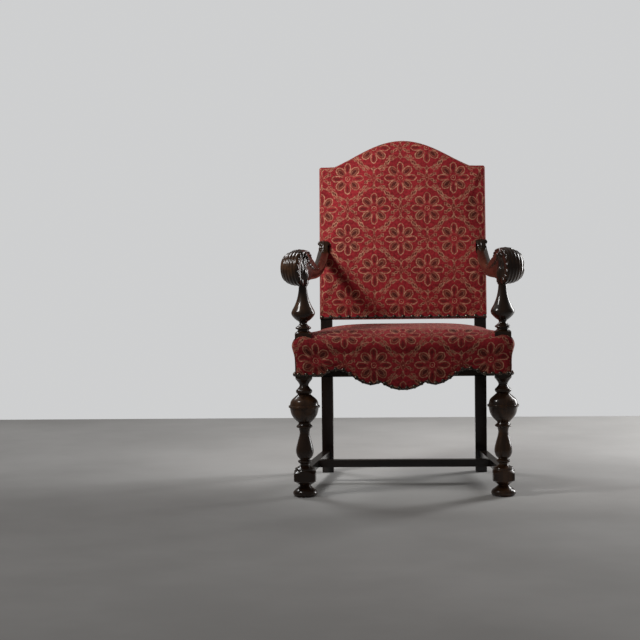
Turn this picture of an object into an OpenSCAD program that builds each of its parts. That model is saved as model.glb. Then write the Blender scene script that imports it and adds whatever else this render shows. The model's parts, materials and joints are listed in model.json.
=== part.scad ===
// High-back armchair: turned front legs that run up as arm posts, square raked rear legs,
// a low H-shaped stretcher, scrolled arms and a sprung, nailed seat and back.
// Millimetres. +Z is up, the front faces -Y, and "left" is the side at -X.
// The origin is on the floor under the middle of the chair's outer box.

/* [Plan] */
// Distance between the axes of the two front legs
front_leg_spacing = 576; // [556:2:600]
// Distance between the centres of the two rear legs
rear_leg_spacing = 488; // [470:2:500]
// Distance from the front leg axis back to the rear leg centre
leg_depth = 473; // [450:1:500]
// Angle by which each arm's scroll turns outward
scroll_turn = 20; // [16:1:24]

/* [Heights] */
// Underside of the seat rails
rail_z = 352; // [345:1:360]
// Height of the seat rails
rail_h = 78; // [70:1:84]
// Height of the seat's crown above the rails
seat_crown = 63; // [56:1:70]
// Height of the seat's edge roll above the rails, at the sides and the rear
seat_edge = 33; // [28:1:38]
// How much higher the edge roll is along the front
seat_front_lift = 10; // [6:1:12]
// Top of the turned arm post, where the arm rests
arm_z = 618; // [606:1:630]
// Height of the upholstered back at its corners, along its slope
back_h = 487; // [460:1:510]
// Rise of the back's arched crest over its corners
crest_h = 83; // [70:1:95]

/* [Legs] */
// Side of the square block where the front leg meets the seat
block_w = 47; // [44:0.5:48]
// Side of the square block where the front leg meets the stretcher
low_block_w = 62; // [58:0.5:66]
// Largest radius of the ball under the seat, at its fillet
ball_r = 45.5; // [42:0.5:48]
// Side of the square rear leg
rear_leg_w = 36; // [34:0.5:40]
// Angle by which the back leans
rake = 8.5; // [6:0.5:11]

/* [Frame] */
// Thickness of the side and front seat rails
rail_t = 28; // [24:0.5:30]
// Thickness of the rear seat rail and of the two back rails
back_rail_t = 26; // [22:0.5:28]
// Height of the back's lower rail
back_rail_h = 56; // [48:1:64]
// Thickness of the scalloped board in front of the front rail
apron_t = 12; // [10:0.5:14]
// Width of the stretcher bars
bar_w = 24; // [21:0.5:26]
// Height of the stretcher bars
bar_h = 22; // [18:0.5:24]
// Height of the stretchers' underside above the floor
bar_z = 47; // [45:0.5:50]
// Distance of the cross stretcher behind the front leg axis
cross_y = 262; // [230:1:300]
// Thickness of the tenons
tenon_t = 10; // [8:0.5:12]
// Length of the tenons in the front legs
tenon_l = 20; // [16:0.5:22]
// Length of the tenons in the rear legs
rear_tenon_l = 14; // [12:0.5:15]
// Radius of the pin on top of the arm post
post_pin_r = 8; // [6:0.5:9]
// Length of the pin on top of the arm post
post_pin_l = 28; // [20:1:34]

/* [Arms] */
// Radius of the scroll at the arm's front end
scroll_r = 51.5; // [48:0.5:54]
// Width of the scroll along its own axis
scroll_w = 60; // [56:1:64]
// Number of reeds round the scroll
reeds = 6; // [5:1:8]
// Depth of the hollows between the reeds
reed_depth = 2.8; // [1.4:0.2:3.4]
// Radius of the screw that holds each arm to the rear leg
screw_r = 2.5; // [2:0.25:3]
// Length of that screw
screw_l = 62; // [52:1:70]

/* [Upholstery] */
// Thickness of the cover cloth
cloth = 2; // [1.6:0.1:2.4]
// How far the seat's edge roll stands out over the rails
roll_out = 10; // [6:0.5:12]
// How far the back's stuffing stands out at its middle
back_crown = 30; // [24:1:36]
// Drop of the apron's middle lobe below the seat's lower edge
lobe_drop = 41; // [36:1:44]
// Width of the gimp braid
gimp_w = 10; // [8:0.5:12]
// Thickness of the gimp braid
gimp_t = 1.6; // [1.2:0.1:2]
// Radius of a nail's domed head
nail_r = 5.2; // [4.4:0.2:5.6]
// Height of a nail's domed head
nail_h = 3.8; // [3:0.2:4.4]
// Spacing of the nails round the seat
nail_pitch = 22; // [18:1:26]
// Spacing of the nails on the back
back_nail_pitch = 29; // [24:1:34]
// Width of the webbing straps
strap_w = 50; // [44:1:56]
// Thickness of the webbing straps
strap_t = 1.2; // [1:0.1:1.6]
// Step from strap to strap across the seat
strap_step = 80; // [72:1:88]
// Step from strap to strap across the back
back_strap_step = 84; // [76:1:88]
// Wire radius of the seat springs
wire_r = 1.9; // [1.6:0.1:2.2]
// Radius of the seat springs at both ends
spring_r = 34; // [28:1:38]
// Turns of each seat spring
spring_turns = 4; // [3:1:5]

/* [Hidden] */

walnut = [0.25, 0.15, 0.10];
beech = [0.62, 0.46, 0.30];
moquette = [0.60, 0.14, 0.17];
stuffing = [0.75, 0.68, 0.55];
jute = [0.66, 0.55, 0.38];
braid = [0.14, 0.09, 0.07];
bronze = [0.35, 0.26, 0.16];
steel = [0.55, 0.55, 0.57];

fit = 0.2;       // clearance round a tenon in its mortise
soft_gap = 0.3;  // clearance between a soft piece and its neighbour
eps = 0.01;
cut_reach = 400; // reach of cuts and slabs that run past the seat
strap_edge = 42; // from the rails in to the first cross strap
strap_turn = 5;  // how far the straps stay from the rails' outer faces

// The scroll: reeds side by side on one axis, smaller towards the outer end
function scroll_env(p) =
    let (q = max(0, (p - 0.3 * scroll_w) / (0.74 * scroll_w)))
    scroll_r * (0.42 + 0.58 * sqrt(1 - q * q));
reed_w = scroll_w / reeds;
reed_steps = 4;
scroll_side = [for (i = [0:reeds * reed_steps])
    let (p = reed_w * i / reed_steps)
    [scroll_env(p) - reed_depth * (1 - abs(sin(180 * i / reed_steps))), p]];

// Plan positions, measured from the front leg axis and then moved to the origin
post_x = front_leg_spacing / 2;
stile_x = rear_leg_spacing / 2;
block_hw = block_w / 2;
low_hw = low_block_w / 2;
rear_hw = rear_leg_w / 2;
rake_z = rail_z + rail_h + 32;          // height where the rear legs start to lean
scroll_fwd = 22;                        // scroll centre in front of the post axis
front_reach = scroll_fwd
    + max([for (p = scroll_side) p[0] * cos(scroll_turn) - p[1] * sin(scroll_turn)]);
back_v0 = 30;                           // lower edge of the upholstered back, along its slope
back_v1 = back_v0 + back_h;
outer_w = rear_leg_w + soft_gap + cloth;
nail_in = nail_r + 3;                   // from the outside back's edge in to its nails
rear_reach = leg_depth - rear_hw + (outer_w + nail_h) * cos(rake)
    + (back_v1 + crest_h - nail_in) * sin(rake);
front_y = (front_reach - rear_reach) / 2;
rear_y = front_y + leg_depth;
stile_y = rear_y - rear_hw;             // front face of the rear legs
rail_top = rail_z + rail_h;
block_z0 = rail_z - 11;
block_z1 = rail_top + 48;

// Outer line of the side rails and side stretchers, from the front block to the rear leg
side_y0 = front_y + block_hw;
side_slope = (stile_x + rear_hw - post_x - block_hw) / (stile_y - side_y0);
side_turn = atan(-side_slope);
function side_x(y, in = 0) = post_x + block_hw + side_slope * (y - side_y0) - in / cos(side_turn);

function mix(a, b, t) = a + (b - a) * t;
function sum_to(list, n) = n <= 0 ? 0 : list[n - 1] + sum_to(list, n - 1);
function flip(pts) = [for (p = pts) [-p[0], p[1]]];
function reversed(list) = [for (i = [len(list) - 1:-1:0]) list[i]];

// A smooth curve through the rows of a list, with n steps between two rows
function curve_at(a, b, c, d, t) =
    0.5 * (2 * b + (c - a) * t + (2 * a - 5 * b + 4 * c - d) * t * t
    + (3 * b - a - 3 * c + d) * t * t * t);
function smooth(rows, n) =
    let (m = len(rows) - 1)
    [for (i = [0:m - 1], k = [0:n - 1])
        curve_at(rows[max(i - 1, 0)], rows[i], rows[i + 1], rows[min(i + 2, m)], k / n),
     rows[m]];

module mirrored(side) {
    if (side < 0) mirror([1, 0, 0]) children();
    else children();
}

// A closed solid from rings with as many points each, first ring to last, with flat ends
module skin(rings) {
    n = len(rings[0]);
    m = len(rings);
    points = [for (r = rings, p = r) p];
    walls = [for (j = [0:m - 2], i = [0:n - 1], h = [0, 1])
        h == 0 ? [j * n + i, (j + 1) * n + i, j * n + (i + 1) % n]
               : [j * n + (i + 1) % n, (j + 1) * n + i, (j + 1) * n + (i + 1) % n]];
    first = [for (i = [0:n - 1]) i];
    last = [for (i = [n - 1:-1:0]) (m - 1) * n + i];
    polyhedron(points, concat(walls, [first, last]));
}

// A closed solid from rings that start and end at a single point each
module pod(start, rings, end) {
    n = len(rings[0]);
    m = len(rings);
    points = concat([for (r = rings, p = r) p], [start, end]);
    walls = [for (j = [0:m - 2], i = [0:n - 1], h = [0, 1])
        h == 0 ? [j * n + i, (j + 1) * n + i, j * n + (i + 1) % n]
               : [j * n + (i + 1) % n, (j + 1) * n + i, (j + 1) * n + (i + 1) % n]];
    caps = [for (i = [0:n - 1], h = [0, 1])
        h == 0 ? [m * n, i, (i + 1) % n]
               : [m * n + 1, (m - 1) * n + (i + 1) % n, (m - 1) * n + i]];
    polyhedron(points, concat(walls, caps));
}

// Front legs: one turned length from the foot to the arm, with two square blocks.
// Each list is one smooth stretch of the turning, as [radius, height].
foot_turn = [[30, 0], [34.5, 4], [35.8, 10], [32.5, 17], [24.5, 23], [15.2, 31]];
low_shoulder = [[15.2, 31], [21, 36], [30, 42], [41, 48], [41, 66], [30, 76], [29, 79]];
flange_turn = [[29, 79], [28.5, 82], [21, 86], [14, 91], [14, 96]];
bead_turn = [[17, 97], [20, 100], [20, 104], [14, 107]];
vase_turn = [[14, 108], [21, 115], [25, 125], [26, 133], [24, 145], [19.5, 162], [15.3, 178],
             [14.6, 188], [17, 199]];
ring_turn = [[19, 200], [23.5, 202], [23.5, 206], [19.5, 209], [17, 214]];
ball_low = [[17, 214], [29, 226], [37, 238], [40.5, 250], [41.5, 258]];
ball_high = [[41.5, 267], [40, 275], [36.5, 282], [28, 290], [18.5, 298]];
collar_turn = [[20, 300], [23.3, 304], [23.3, 310], [19.4, 314], [13, 323], [15.5, 331],
               [23, 341]];
upper_ring = [[23, 478], [17, 483], [17.6, 487], [22.2, 489], [22.2, 493], [17.6, 496]];
upper_neck = [[17, 497], [12.5, 501], [10.8, 505], [13, 510]];
pear_turn = [[13, 510], [19.5, 514], [27, 521], [32.2, 527.5], [34.3, 534], [33, 540.5],
             [29.6, 547], [25, 555.5], [19.8, 568], [15.6, 582], [12.8, 598], [11.6, 612]];
post_cap = [[14.5, 614], [14.5, 618]];
fillet_z = [260, 265];
// Heights that the lists above were drawn for: the seat block's underside and the post's top
drawn_block_z0 = 341;
drawn_block_z1 = 478;
drawn_arm_z = 618;

// The lower turning follows the seat block, and the upper one the gap between block and arm
function low_z(z) = z < 90 ? z : 90 + (z - 90) * (block_z0 - 90) / (drawn_block_z0 - 90);
function high_z(z) =
    block_z1 + (z - drawn_block_z1) * (arm_z - block_z1) / (drawn_arm_z - drawn_block_z1);

module low_turning() {
    curves = [for (t = [foot_turn, low_shoulder, flange_turn, bead_turn, vase_turn, ring_turn,
                        ball_low]) each smooth(t, 3)];
    upper = [for (t = [ball_high, collar_turn]) each smooth(t, 3)];
    fillet = [[41.5, fillet_z[0] - 1], [ball_r, fillet_z[0]], [ball_r, fillet_z[1]],
              [41.5, fillet_z[1] + 1]];
    side = [for (p = concat(curves, fillet, upper)) [p[0], low_z(p[1])]];
    rotate_extrude($fn = 64)
        polygon(concat([[0, 0]], side, [[23, block_z0 + eps], [0, block_z0 + eps]]));
}

module high_turning() {
    curves = [for (t = [upper_ring, upper_neck, pear_turn, post_cap]) each smooth(t, 3)];
    side = [for (p = curves) [p[0], high_z(p[1])]];
    rotate_extrude($fn = 64)
        polygon(concat([[0, block_z1 - eps], [23, block_z1 - eps]], side, [[0, arm_z]]));
    translate([0, 0, arm_z - eps])
        cylinder(r = post_pin_r, h = post_pin_l, $fn = 48);
}

// The square stretcher block, with its corners turned round at both ends
module low_block() {
    z0 = low_shoulder[0][1];
    height = low_shoulder[len(low_shoulder) - 1][1] - z0;
    difference() {
        low_turning();
        translate([0, 0, z0])
            difference() {
                cylinder(r = low_block_w, h = height, $fn = 48);
                translate([-low_hw, -low_hw, -1])
                    cube([low_block_w, low_block_w, height + 2]);
            }
    }
}

module seat_block() {
    corner = 3;
    intersection() {
        translate([-block_hw, -block_hw, block_z0])
            cube([block_w, block_w, block_z1 - block_z0]);
        rotate_extrude($fn = 64)
            polygon([[0, block_z0], [block_hw, block_z0], [block_w, block_z0 + 20],
                     [block_w, block_z1 - 10], [block_hw + corner, block_z1], [0, block_z1]]);
    }
}

// All tenons of the seat frame and stretchers that enter the right-hand legs
module right_tenons(gap) {
    side_rail_tenon(gap, true);
    side_rail_tenon(gap, false);
    side_bar_tenon(gap, true);
    side_bar_tenon(gap, false);
    front_rail_tenon(gap);
    rear_rail_tenon(gap);
    back_rail_tenons(gap);
}

module front_leg(side) {
    color(walnut)
        mirrored(side)
            difference() {
                translate([post_x, front_y, 0])
                    union() {
                        low_block();
                        seat_block();
                        high_turning();
                    }
                right_tenons(fit);
            }
}

// The rear leg leans above the seat; its upper end carries the back
stile_top = back_v1 - 8;

module back_space() {
    translate([0, stile_y, rake_z])
        rotate([-rake, 0, 0])
            children();
}

module rear_leg(side) {
    lean = stile_top * sin(rake);
    rise = stile_top * cos(rake);
    across = rear_leg_w * sin(rake);
    bend = rear_leg_w * tan(rake / 2);
    color(walnut)
        mirrored(side)
            difference() {
                translate([stile_x - rear_hw, 0, 0])
                    rotate([90, 0, 90])
                        linear_extrude(rear_leg_w)
                            polygon([[stile_y, 0], [stile_y + rear_leg_w, 0],
                                     [stile_y + rear_leg_w, rake_z - bend],
                                     [stile_y + lean + rear_leg_w * cos(rake),
                                      rake_z + rise - across],
                                     [stile_y + lean, rake_z + rise], [stile_y, rake_z]]);
                right_tenons(fit);
                arm_screw(fit);
            }
}

// Seat rails
front_rail_y = front_y - block_hw + apron_t;
rear_rail_y = rear_y + rear_hw - 4 - back_rail_t;
tenon_inset = 10;

module side_strip(t, in, y0, y1) {
    polygon([[side_x(y0, in), y0], [side_x(y0, in + t), y0],
             [side_x(y1, in + t), y1], [side_x(y1, in), y1]]);
}

module side_rail_tenon(gap, at_front) {
    in = (rail_t - tenon_t) / 2;
    y0 = at_front ? side_y0 - tenon_l - gap : stile_y - eps;
    y1 = at_front ? side_y0 + eps : stile_y + rear_tenon_l + gap;
    translate([0, 0, rail_z + tenon_inset - gap])
        linear_extrude(rail_h - 2 * tenon_inset + 2 * gap)
            side_strip(tenon_t + 2 * gap, in - gap, y0, y1);
}

module side_rail(side) {
    color(beech)
        mirrored(side)
            union() {
                translate([0, 0, rail_z])
                    linear_extrude(rail_h)
                        side_strip(rail_t, 0, side_y0, stile_y);
                side_rail_tenon(0, true);
                side_rail_tenon(0, false);
            }
}

module front_rail_tenon(gap) {
    y = front_rail_y + (rail_t - tenon_t) / 2;
    x0 = post_x - block_hw - eps;
    translate([x0, y - gap, rail_z + tenon_inset - gap])
        cube([tenon_l + gap, tenon_t + 2 * gap, rail_h - 2 * tenon_inset + 2 * gap]);
}

module front_rail() {
    span = 2 * (post_x - block_hw);
    color(beech)
        union() {
            translate([-span / 2, front_rail_y, rail_z])
                cube([span, rail_t, rail_h]);
            for (side = [-1, 1])
                mirrored(side) front_rail_tenon(0);
        }
}

module rear_rail_tenon(gap) {
    y = rear_rail_y + (back_rail_t - tenon_t) / 2;
    x0 = stile_x - rear_hw - eps;
    translate([x0, y - gap, rail_z + tenon_inset - gap])
        cube([rear_tenon_l + gap, tenon_t + 2 * gap, rail_h - 2 * tenon_inset + 2 * gap]);
}

module rear_rail() {
    span = 2 * (stile_x - rear_hw);
    color(beech)
        union() {
            translate([-span / 2, rear_rail_y, rail_z])
                cube([span, back_rail_t, rail_h]);
            for (side = [-1, 1])
                mirrored(side) rear_rail_tenon(0);
        }
}

// Lower edge of the seat's front: three lobes in the middle and a raised step to each side.
// Across, the points are for a half span of 264.5; they stretch with the real span.
apron_span = post_x - block_hw;
lobe_x = 64 * apron_span / 264.5;
cusp_z = -19;
apron_steps = [[64, cusp_z], [78, -24], [95, -26], [120, -18.5], [147, -1], [170, 13], [190, 16],
               [212, 12], [228, 2.5], [240, 0]];
apron_side = [for (p = smooth(apron_steps, 2)) [p[0] * apron_span / 264.5, p[1]]];
flat_x = apron_side[len(apron_side) - 1][0];

function apron_drop(x) =
    abs(x) >= flat_x ? 0
    : abs(x) < lobe_x ? mix(-lobe_drop, cusp_z, pow(abs(x) / lobe_x, 2.2))
    : lookup(abs(x), apron_side);

lobe_xs = [for (i = [0:4]) lobe_x * i / 4];
step_xs = [for (i = [1:2:len(apron_side) - 1]) apron_side[i][0]];
half_xs = concat(lobe_xs, step_xs, [flat_x]);

module front_apron() {
    xs = concat([for (x = reversed(half_xs)) -x], [for (i = [1:len(half_xs) - 1]) half_xs[i]]);
    edge = [for (x = xs) [x, rail_z + cloth + apron_drop(x)]];
    color(beech)
        translate([0, front_rail_y, 0])
            rotate([90, 0, 0])
                linear_extrude(apron_t)
                    polygon(concat([[-apron_span, rail_top], [-apron_span, rail_z + cloth]], edge,
                                   [[apron_span, rail_z + cloth], [apron_span, rail_top]]));
}

// Triangular blocks glued into the four corners of the seat frame
module corner_blocks() {
    arm = 50;
    thick = 30;
    yf = front_rail_y + rail_t;
    xf = post_x - block_hw;
    xr = stile_x - rear_hw;
    color(beech)
        for (side = [-1, 1])
            mirrored(side)
                translate([0, 0, rail_top - thick - 12])
                    linear_extrude(thick) {
                        polygon([[xf - arm, yf], [xf, yf], [xf, side_y0],
                                 [side_x(side_y0, rail_t), side_y0],
                                 [side_x(side_y0 + arm, rail_t), side_y0 + arm]]);
                        polygon([[xr - arm, rear_rail_y], [xr, rear_rail_y], [xr, stile_y],
                                 [side_x(stile_y, rail_t), stile_y],
                                 [side_x(stile_y - arm, rail_t), stile_y - arm]]);
                    }
}

// Stretchers
low_y = front_y + low_hw;

module side_bar_tenon(gap, at_front) {
    in = (bar_w - tenon_t) / 2;
    y0 = at_front ? low_y - tenon_l - gap : stile_y - eps;
    y1 = at_front ? low_y + eps : stile_y + tenon_l + gap;
    lift = 4;
    translate([0, 0, bar_z + lift - gap])
        linear_extrude(bar_h - 2 * lift + 2 * gap)
            side_strip(tenon_t + 2 * gap, in - gap, y0, y1);
}

module cross_tenon(gap) {
    y = front_y + cross_y;
    lift = 5;
    long = 12;
    x0 = side_x(y + tenon_t / 2, bar_w) - 2;
    translate([x0, y - tenon_t / 2 - gap, bar_z + lift - gap])
        cube([long + 2 + gap, tenon_t + 2 * gap, bar_h - 2 * lift + 2 * gap]);
}

module side_stretcher(side) {
    color(walnut)
        mirrored(side)
            difference() {
                union() {
                    translate([0, 0, bar_z])
                        linear_extrude(bar_h)
                            side_strip(bar_w, 0, low_y, stile_y);
                    side_bar_tenon(0, true);
                    side_bar_tenon(0, false);
                }
                cross_tenon(fit);
            }
}

module cross_stretcher() {
    y0 = front_y + cross_y - bar_w / 2;
    y1 = y0 + bar_w;
    color(walnut)
        union() {
            translate([0, 0, bar_z])
                linear_extrude(bar_h)
                    polygon([[-side_x(y0, bar_w), y0], [side_x(y0, bar_w), y0],
                             [side_x(y1, bar_w), y1], [-side_x(y1, bar_w), y1]]);
            for (side = [-1, 1])
                mirrored(side) cross_tenon(0);
        }
}

// Back frame: the two back rails lie between the leaning parts of the rear legs
crest_x = 218;
function crest(x) =
    abs(x) >= crest_x ? 0 : crest_h * pow(0.5 + 0.5 * cos(180 * abs(x) / crest_x), 0.6);
top_rail_h = 62;
top_rail_drop = 4;

module back_rail_tenons(gap) {
    x0 = stile_x - rear_hw - eps;
    rails = [[back_v0 + cloth + soft_gap, back_rail_h], [back_v1 - top_rail_h, 50]];
    back_space()
        for (r = rails)
            translate([x0, (back_rail_t - tenon_t) / 2 - gap, r[0] + tenon_inset - gap])
                cube([tenon_l + gap, tenon_t + 2 * gap, r[1] - 2 * tenon_inset + 2 * gap]);
}

module back_top_rail() {
    half = stile_x - rear_hw;
    v0 = back_v1 - top_rail_h;
    xs = [for (i = [-12:12]) half * i / 12];
    under = [for (x = xs) [x, v0 + 0.5 * crest(x)]];
    over = [for (x = reversed(xs)) [x, back_v1 - top_rail_drop + crest(x)]];
    color(beech)
        union() {
            back_space()
                translate([0, back_rail_t, 0])
                    rotate([90, 0, 0])
                        linear_extrude(back_rail_t)
                            polygon(concat(under, over));
            for (side = [-1, 1])
                mirrored(side)
                    intersection() {
                        back_rail_tenons(0);
                        back_space()
                            translate([0, 0, v0])
                                cube([post_x, rear_leg_w, top_rail_h]);
                    }
        }
}

module back_bottom_rail() {
    half = stile_x - rear_hw;
    v0 = back_v0 + cloth + soft_gap;
    color(beech)
        union() {
            back_space()
                translate([-half, 0, v0])
                    cube([2 * half, back_rail_t, back_rail_h]);
            for (side = [-1, 1])
                mirrored(side)
                    intersection() {
                        back_rail_tenons(0);
                        back_space()
                            translate([0, 0, v0])
                                cube([post_x, rear_leg_w, back_rail_h]);
                    }
        }
}

// Arms. Each row is one station from the rear leg to the scroll:
// [share of the way, sideways shift, half width, underside, top, turn], heights over the post.
arm_rows = [[0, 0, 17, 76, 112, 0], [0.09, -2, 17.5, 65, 102, 0], [0.2, -4, 17.5, 44, 82, 2],
            [0.32, -5, 17.5, 25, 62, 3], [0.45, -6, 18, 14, 50, 4], [0.58, -7, 18, 10, 47, 5],
            [0.7, -6, 18.5, 10, 52, 8], [0.78, -4, 19.5, 10, 61, 11], [0.85, -2, 21, 9, 73, 14],
            [0.9, 1, 24, 6, 86, 17], [0.95, 7, 27, 4, 97, 20], [1.02, 13, 27, 6, 98, 20]];
arm_end_x = stile_x + 6;
arm_end_rise = 94;
arm_end_z = arm_z + arm_end_rise;
section = 16;

function stile_front(z) = stile_y + (z - rake_z) * tan(rake);

function round_off(a) = sign(a) * pow(abs(a), 0.78);

// One cross-section of the arm; the first one lies in the slope of the rear leg's front
function arm_ring(row) =
    let (y0 = stile_front(arm_end_z),
         y = mix(y0, front_y, row[0]),
         x = mix(arm_end_x, post_x, row[0]) + row[1],
         zc = arm_z + (row[3] + row[4]) / 2,
         zh = (row[4] - row[3]) / 2)
    [for (i = [0:section - 1])
        let (a = 360 * (i + 0.5) / section,
             u = row[2] * round_off(cos(a)) / round_off(cos(180 / section)),
             z = zc + zh * round_off(sin(a)) / round_off(sin(90 - 180 / section)))
        [x + u * cos(row[5]), row[0] == 0 ? stile_front(z) : y + u * sin(row[5]), z]];

// The scroll at the arm's front end, turned outward; it hangs a little lower than the post's top
scroll_x = post_x - 4;
scroll_drop = 4.5;
scroll_z = arm_z + scroll_r - scroll_drop;

module scroll() {
    tip = scroll_side[len(scroll_side) - 1];
    translate([scroll_x, front_y - scroll_fwd, scroll_z])
        rotate([0, 0, scroll_turn])
            rotate([0, 90, 0])
                rotate_extrude($fn = 64)
                    polygon(concat([[0, 0]], scroll_side, [[0, tip[1]]]));
}

module arm_screw(gap) {
    head_h = 4;
    translate([arm_end_x, 0, 0])
        back_space()
            translate([0, rear_leg_w - 1, back_arm_v])
                rotate([90, 0, 0])
                    union() {
                        cylinder(r = screw_r + gap, h = screw_l + gap, $fn = 32);
                        translate([0, 0, gap > 0 ? -2 : 0])
                            cylinder(r = 2 * screw_r + gap, h = head_h + (gap > 0 ? 2 : 0),
                                     $fn = 32);
                    }
}

module arm(side) {
    boss_r = 17;
    color(walnut)
        mirrored(side)
            difference() {
                union() {
                    skin([for (row = smooth(arm_rows, 2)) arm_ring(row)]);
                    scroll();
                    translate([post_x, front_y, arm_z])
                        cylinder(r = boss_r, h = 44, $fn = 48);
                }
                translate([post_x, front_y, arm_z - 1])
                    cylinder(r = post_pin_r + fit, h = post_pin_l + 2, $fn = 48);
                translate([post_x, front_y, arm_z - 2 * scroll_drop])
                    cylinder(r = boss_r, h = 2 * scroll_drop, $fn = 48);
                arm_screw(fit);
            }
}

module arm_screws() {
    color(steel)
        for (side = [-1, 1])
            mirrored(side) arm_screw(0);
}

// Seat outline. out moves the front and sides outward and d moves all sides inward, and x values
// along the front stay in step so that the lower edge can follow the apron.
seat_hw = post_x + block_hw + soft_gap + cloth;
seat_front = front_y - block_hw - soft_gap - cloth;
seat_rear = rear_rail_y + back_rail_t + soft_gap + cloth;
seat_rear_hw = side_x(seat_rear) + soft_gap + cloth;
seat_mid_y = (seat_front + seat_rear) / 2;
corner_r = 12;

function corner(x, y, r, a0, a1, n) =
    [for (i = [1:n]) let (a = mix(a0, a1, i / (n + 1))) [x + r * cos(a), y + r * sin(a)]];

// Right half, from the middle of the front to the middle of the rear
function seat_half(out, d) =
    let (hw = seat_hw + out - d, yf = seat_front - out + d, r = corner_r + max(out - d, 0) / 2,
         hr = seat_rear_hw + out - d, yr = seat_rear - d,
         k = (hw - r) / (seat_hw - corner_r),
         y1 = side_y0)
    concat([for (x = half_xs) [x * k, yf]], [[mix(flat_x, seat_hw - corner_r, 0.5) * k, yf],
            [hw - r, yf]],
           corner(hw - r, yf + r, r, -90, 0, 2),
           [[hw, yf + r], [hw, y1]],
           [for (t = [0.3, 0.6, 0.9]) [mix(hw, hr, t), mix(y1, yr, t)]],
           corner(hr - 8, yr - 8, 8, 0, 90, 1),
           [[hr - 8, yr], [hr * 0.4, yr]]);

function seat_outline(out, d = 0) =
    let (half = seat_half(out, d), n = len(half))
    concat(half, [for (i = [n - 1:-1:1]) [-half[i][0], half[i][1]]]);

seat_plan = seat_outline(0);

// Height of the lower edge at each outline point: scalloped along the front, level elsewhere
function edge_z(i) =
    rail_z + (seat_plan[i][1] < seat_front + 0.5 ? apron_drop(seat_plan[i][0]) : 0);

// Height of the edge roll above the rails, at a distance y from the front to the rear
function seat_edge_at(y) =
    seat_edge + seat_front_lift * max(0, (seat_mid_y - y) / (seat_mid_y - seat_front));

// A ring of the seat's edge at a height, out from the outline and d below the surface
function edge_ring(z, out, d) = [for (p = seat_outline(out, d)) [p[0], p[1], z - d]];
function lower_ring(lift, d) =
    let (line = seat_outline(0, d)) [for (i = [0:len(line) - 1])
        [line[i][0], line[i][1], edge_z(i) + lift]];
// A ring of the edge roll, at a share of the roll's height
function roll_ring(share, out, d) =
    [for (p = seat_outline(out, d)) [p[0], p[1], rail_top + share * seat_edge_at(p[1]) - d]];
// A ring of the seat's top, k of the way out from the middle
function crown_ring(k, d) =
    [for (p = seat_outline(0, d)) [p[0] * k, seat_mid_y + (p[1] - seat_mid_y) * k,
        rail_top + mix(seat_edge_at(p[1]), seat_crown, 1 - pow(k, 3.2)) - d]];

function seat_rolls(d) =
    [edge_ring(rail_top - 22, 0.2 * roll_out, d), edge_ring(rail_top + 2, 0.8 * roll_out, d),
     roll_ring(0.48, roll_out, d), roll_ring(0.79, 0.7 * roll_out, d)];

crown_steps = [1, 0.92, 0.8, 0.62, 0.36];
inner_steps = [1, 0.8, 0.5];

// Room for the front posts and the rear legs where they pass the seat's stuffing and cover
module leg_room(gap) {
    tall = 300;
    for (side = [-1, 1])
        mirrored(side) {
            translate([post_x - block_hw - gap, front_y - block_hw - gap, rail_top])
                cube([block_w + 2 * gap, block_w + 2 * gap, tall]);
            translate([stile_x - rear_hw - gap, stile_y - gap, rail_z - rail_h])
                cube([2 * rear_leg_w, tall, tall]);
        }
}

module seat_cover() {
    outer = concat([lower_ring(0, 0), lower_ring(gimp_w + 4, 0)], seat_rolls(0),
                   [for (k = crown_steps) crown_ring(k, 0)]);
    inner = concat([lower_ring(0, cloth), lower_ring(gimp_w + 4, cloth)], seat_rolls(cloth),
                   [for (k = inner_steps) crown_ring(k, cloth)]);
    top = [0, seat_mid_y, rail_top + seat_crown];
    color(moquette)
        difference() {
            pod(top - [0, 0, cloth], concat(reversed(inner), outer), top);
            leg_room(soft_gap);
        }
}

module seat_pad() {
    d = cloth + soft_gap;
    z0 = rail_top + canvas_t + soft_gap;
    rolls = [for (r = seat_rolls(d)) if (r[0][2] > z0 + 1) r];
    base = [for (p = seat_outline(0.7 * roll_out, d)) [p[0], p[1], z0]];
    rings = concat([base], rolls, [for (k = inner_steps) crown_ring(k, d)]);
    top = [0, seat_mid_y, rail_top + seat_crown - d];
    color(stuffing)
        difference() {
            pod([0, seat_mid_y, z0], rings, top);
            leg_room(soft_gap);
        }
}

// Inside the seat: canvas on the rails, springs on crossed webbing, dust cloth below
canvas_t = 0.8;
module inside_plan(in) {
    half = [[apron_span - 2, front_rail_y + in], [apron_span - 2, side_y0 + 2],
            [side_x(side_y0 + 2, in), side_y0 + 2], [side_x(stile_y - 2, in), stile_y - 2],
            [stile_x - rear_hw - 2, stile_y - 2], [stile_x - rear_hw - 2,
             rear_rail_y + back_rail_t - in]];
    polygon(concat(half, reversed(flip(half))));
}

module seat_canvas() {
    color(jute)
        translate([0, 0, rail_top])
            linear_extrude(canvas_t)
                inside_plan(6);
}

module seat_dust_cover() {
    color(braid)
        translate([0, 0, rail_z - 2 * strap_t - 1])
            linear_extrude(canvas_t)
                inside_plan(4);
}

strap_xs = [for (i = [-2:2]) i * strap_step];
strap_ys = [for (i = [0:4])
    mix(front_rail_y + rail_t + strap_edge, rear_rail_y - strap_edge, i / 4)];

module seat_webbing_long() {
    y0 = front_rail_y + strap_turn;
    y1 = rear_rail_y + back_rail_t - strap_turn;
    color(jute)
        for (x = strap_xs)
            translate([x - strap_w / 2, y0, rail_z - strap_t])
                cube([strap_w, y1 - y0, strap_t]);
}

module seat_webbing_cross() {
    color(jute)
        translate([0, 0, rail_z - 2 * strap_t])
            linear_extrude(strap_t)
                for (y = strap_ys) {
                    x0 = side_x(y - strap_w / 2, strap_turn);
                    x1 = side_x(y + strap_w / 2, strap_turn);
                    polygon([[-x0, y - strap_w / 2], [x0, y - strap_w / 2],
                             [x1, y + strap_w / 2], [-x1, y + strap_w / 2]]);
                }
}

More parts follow.
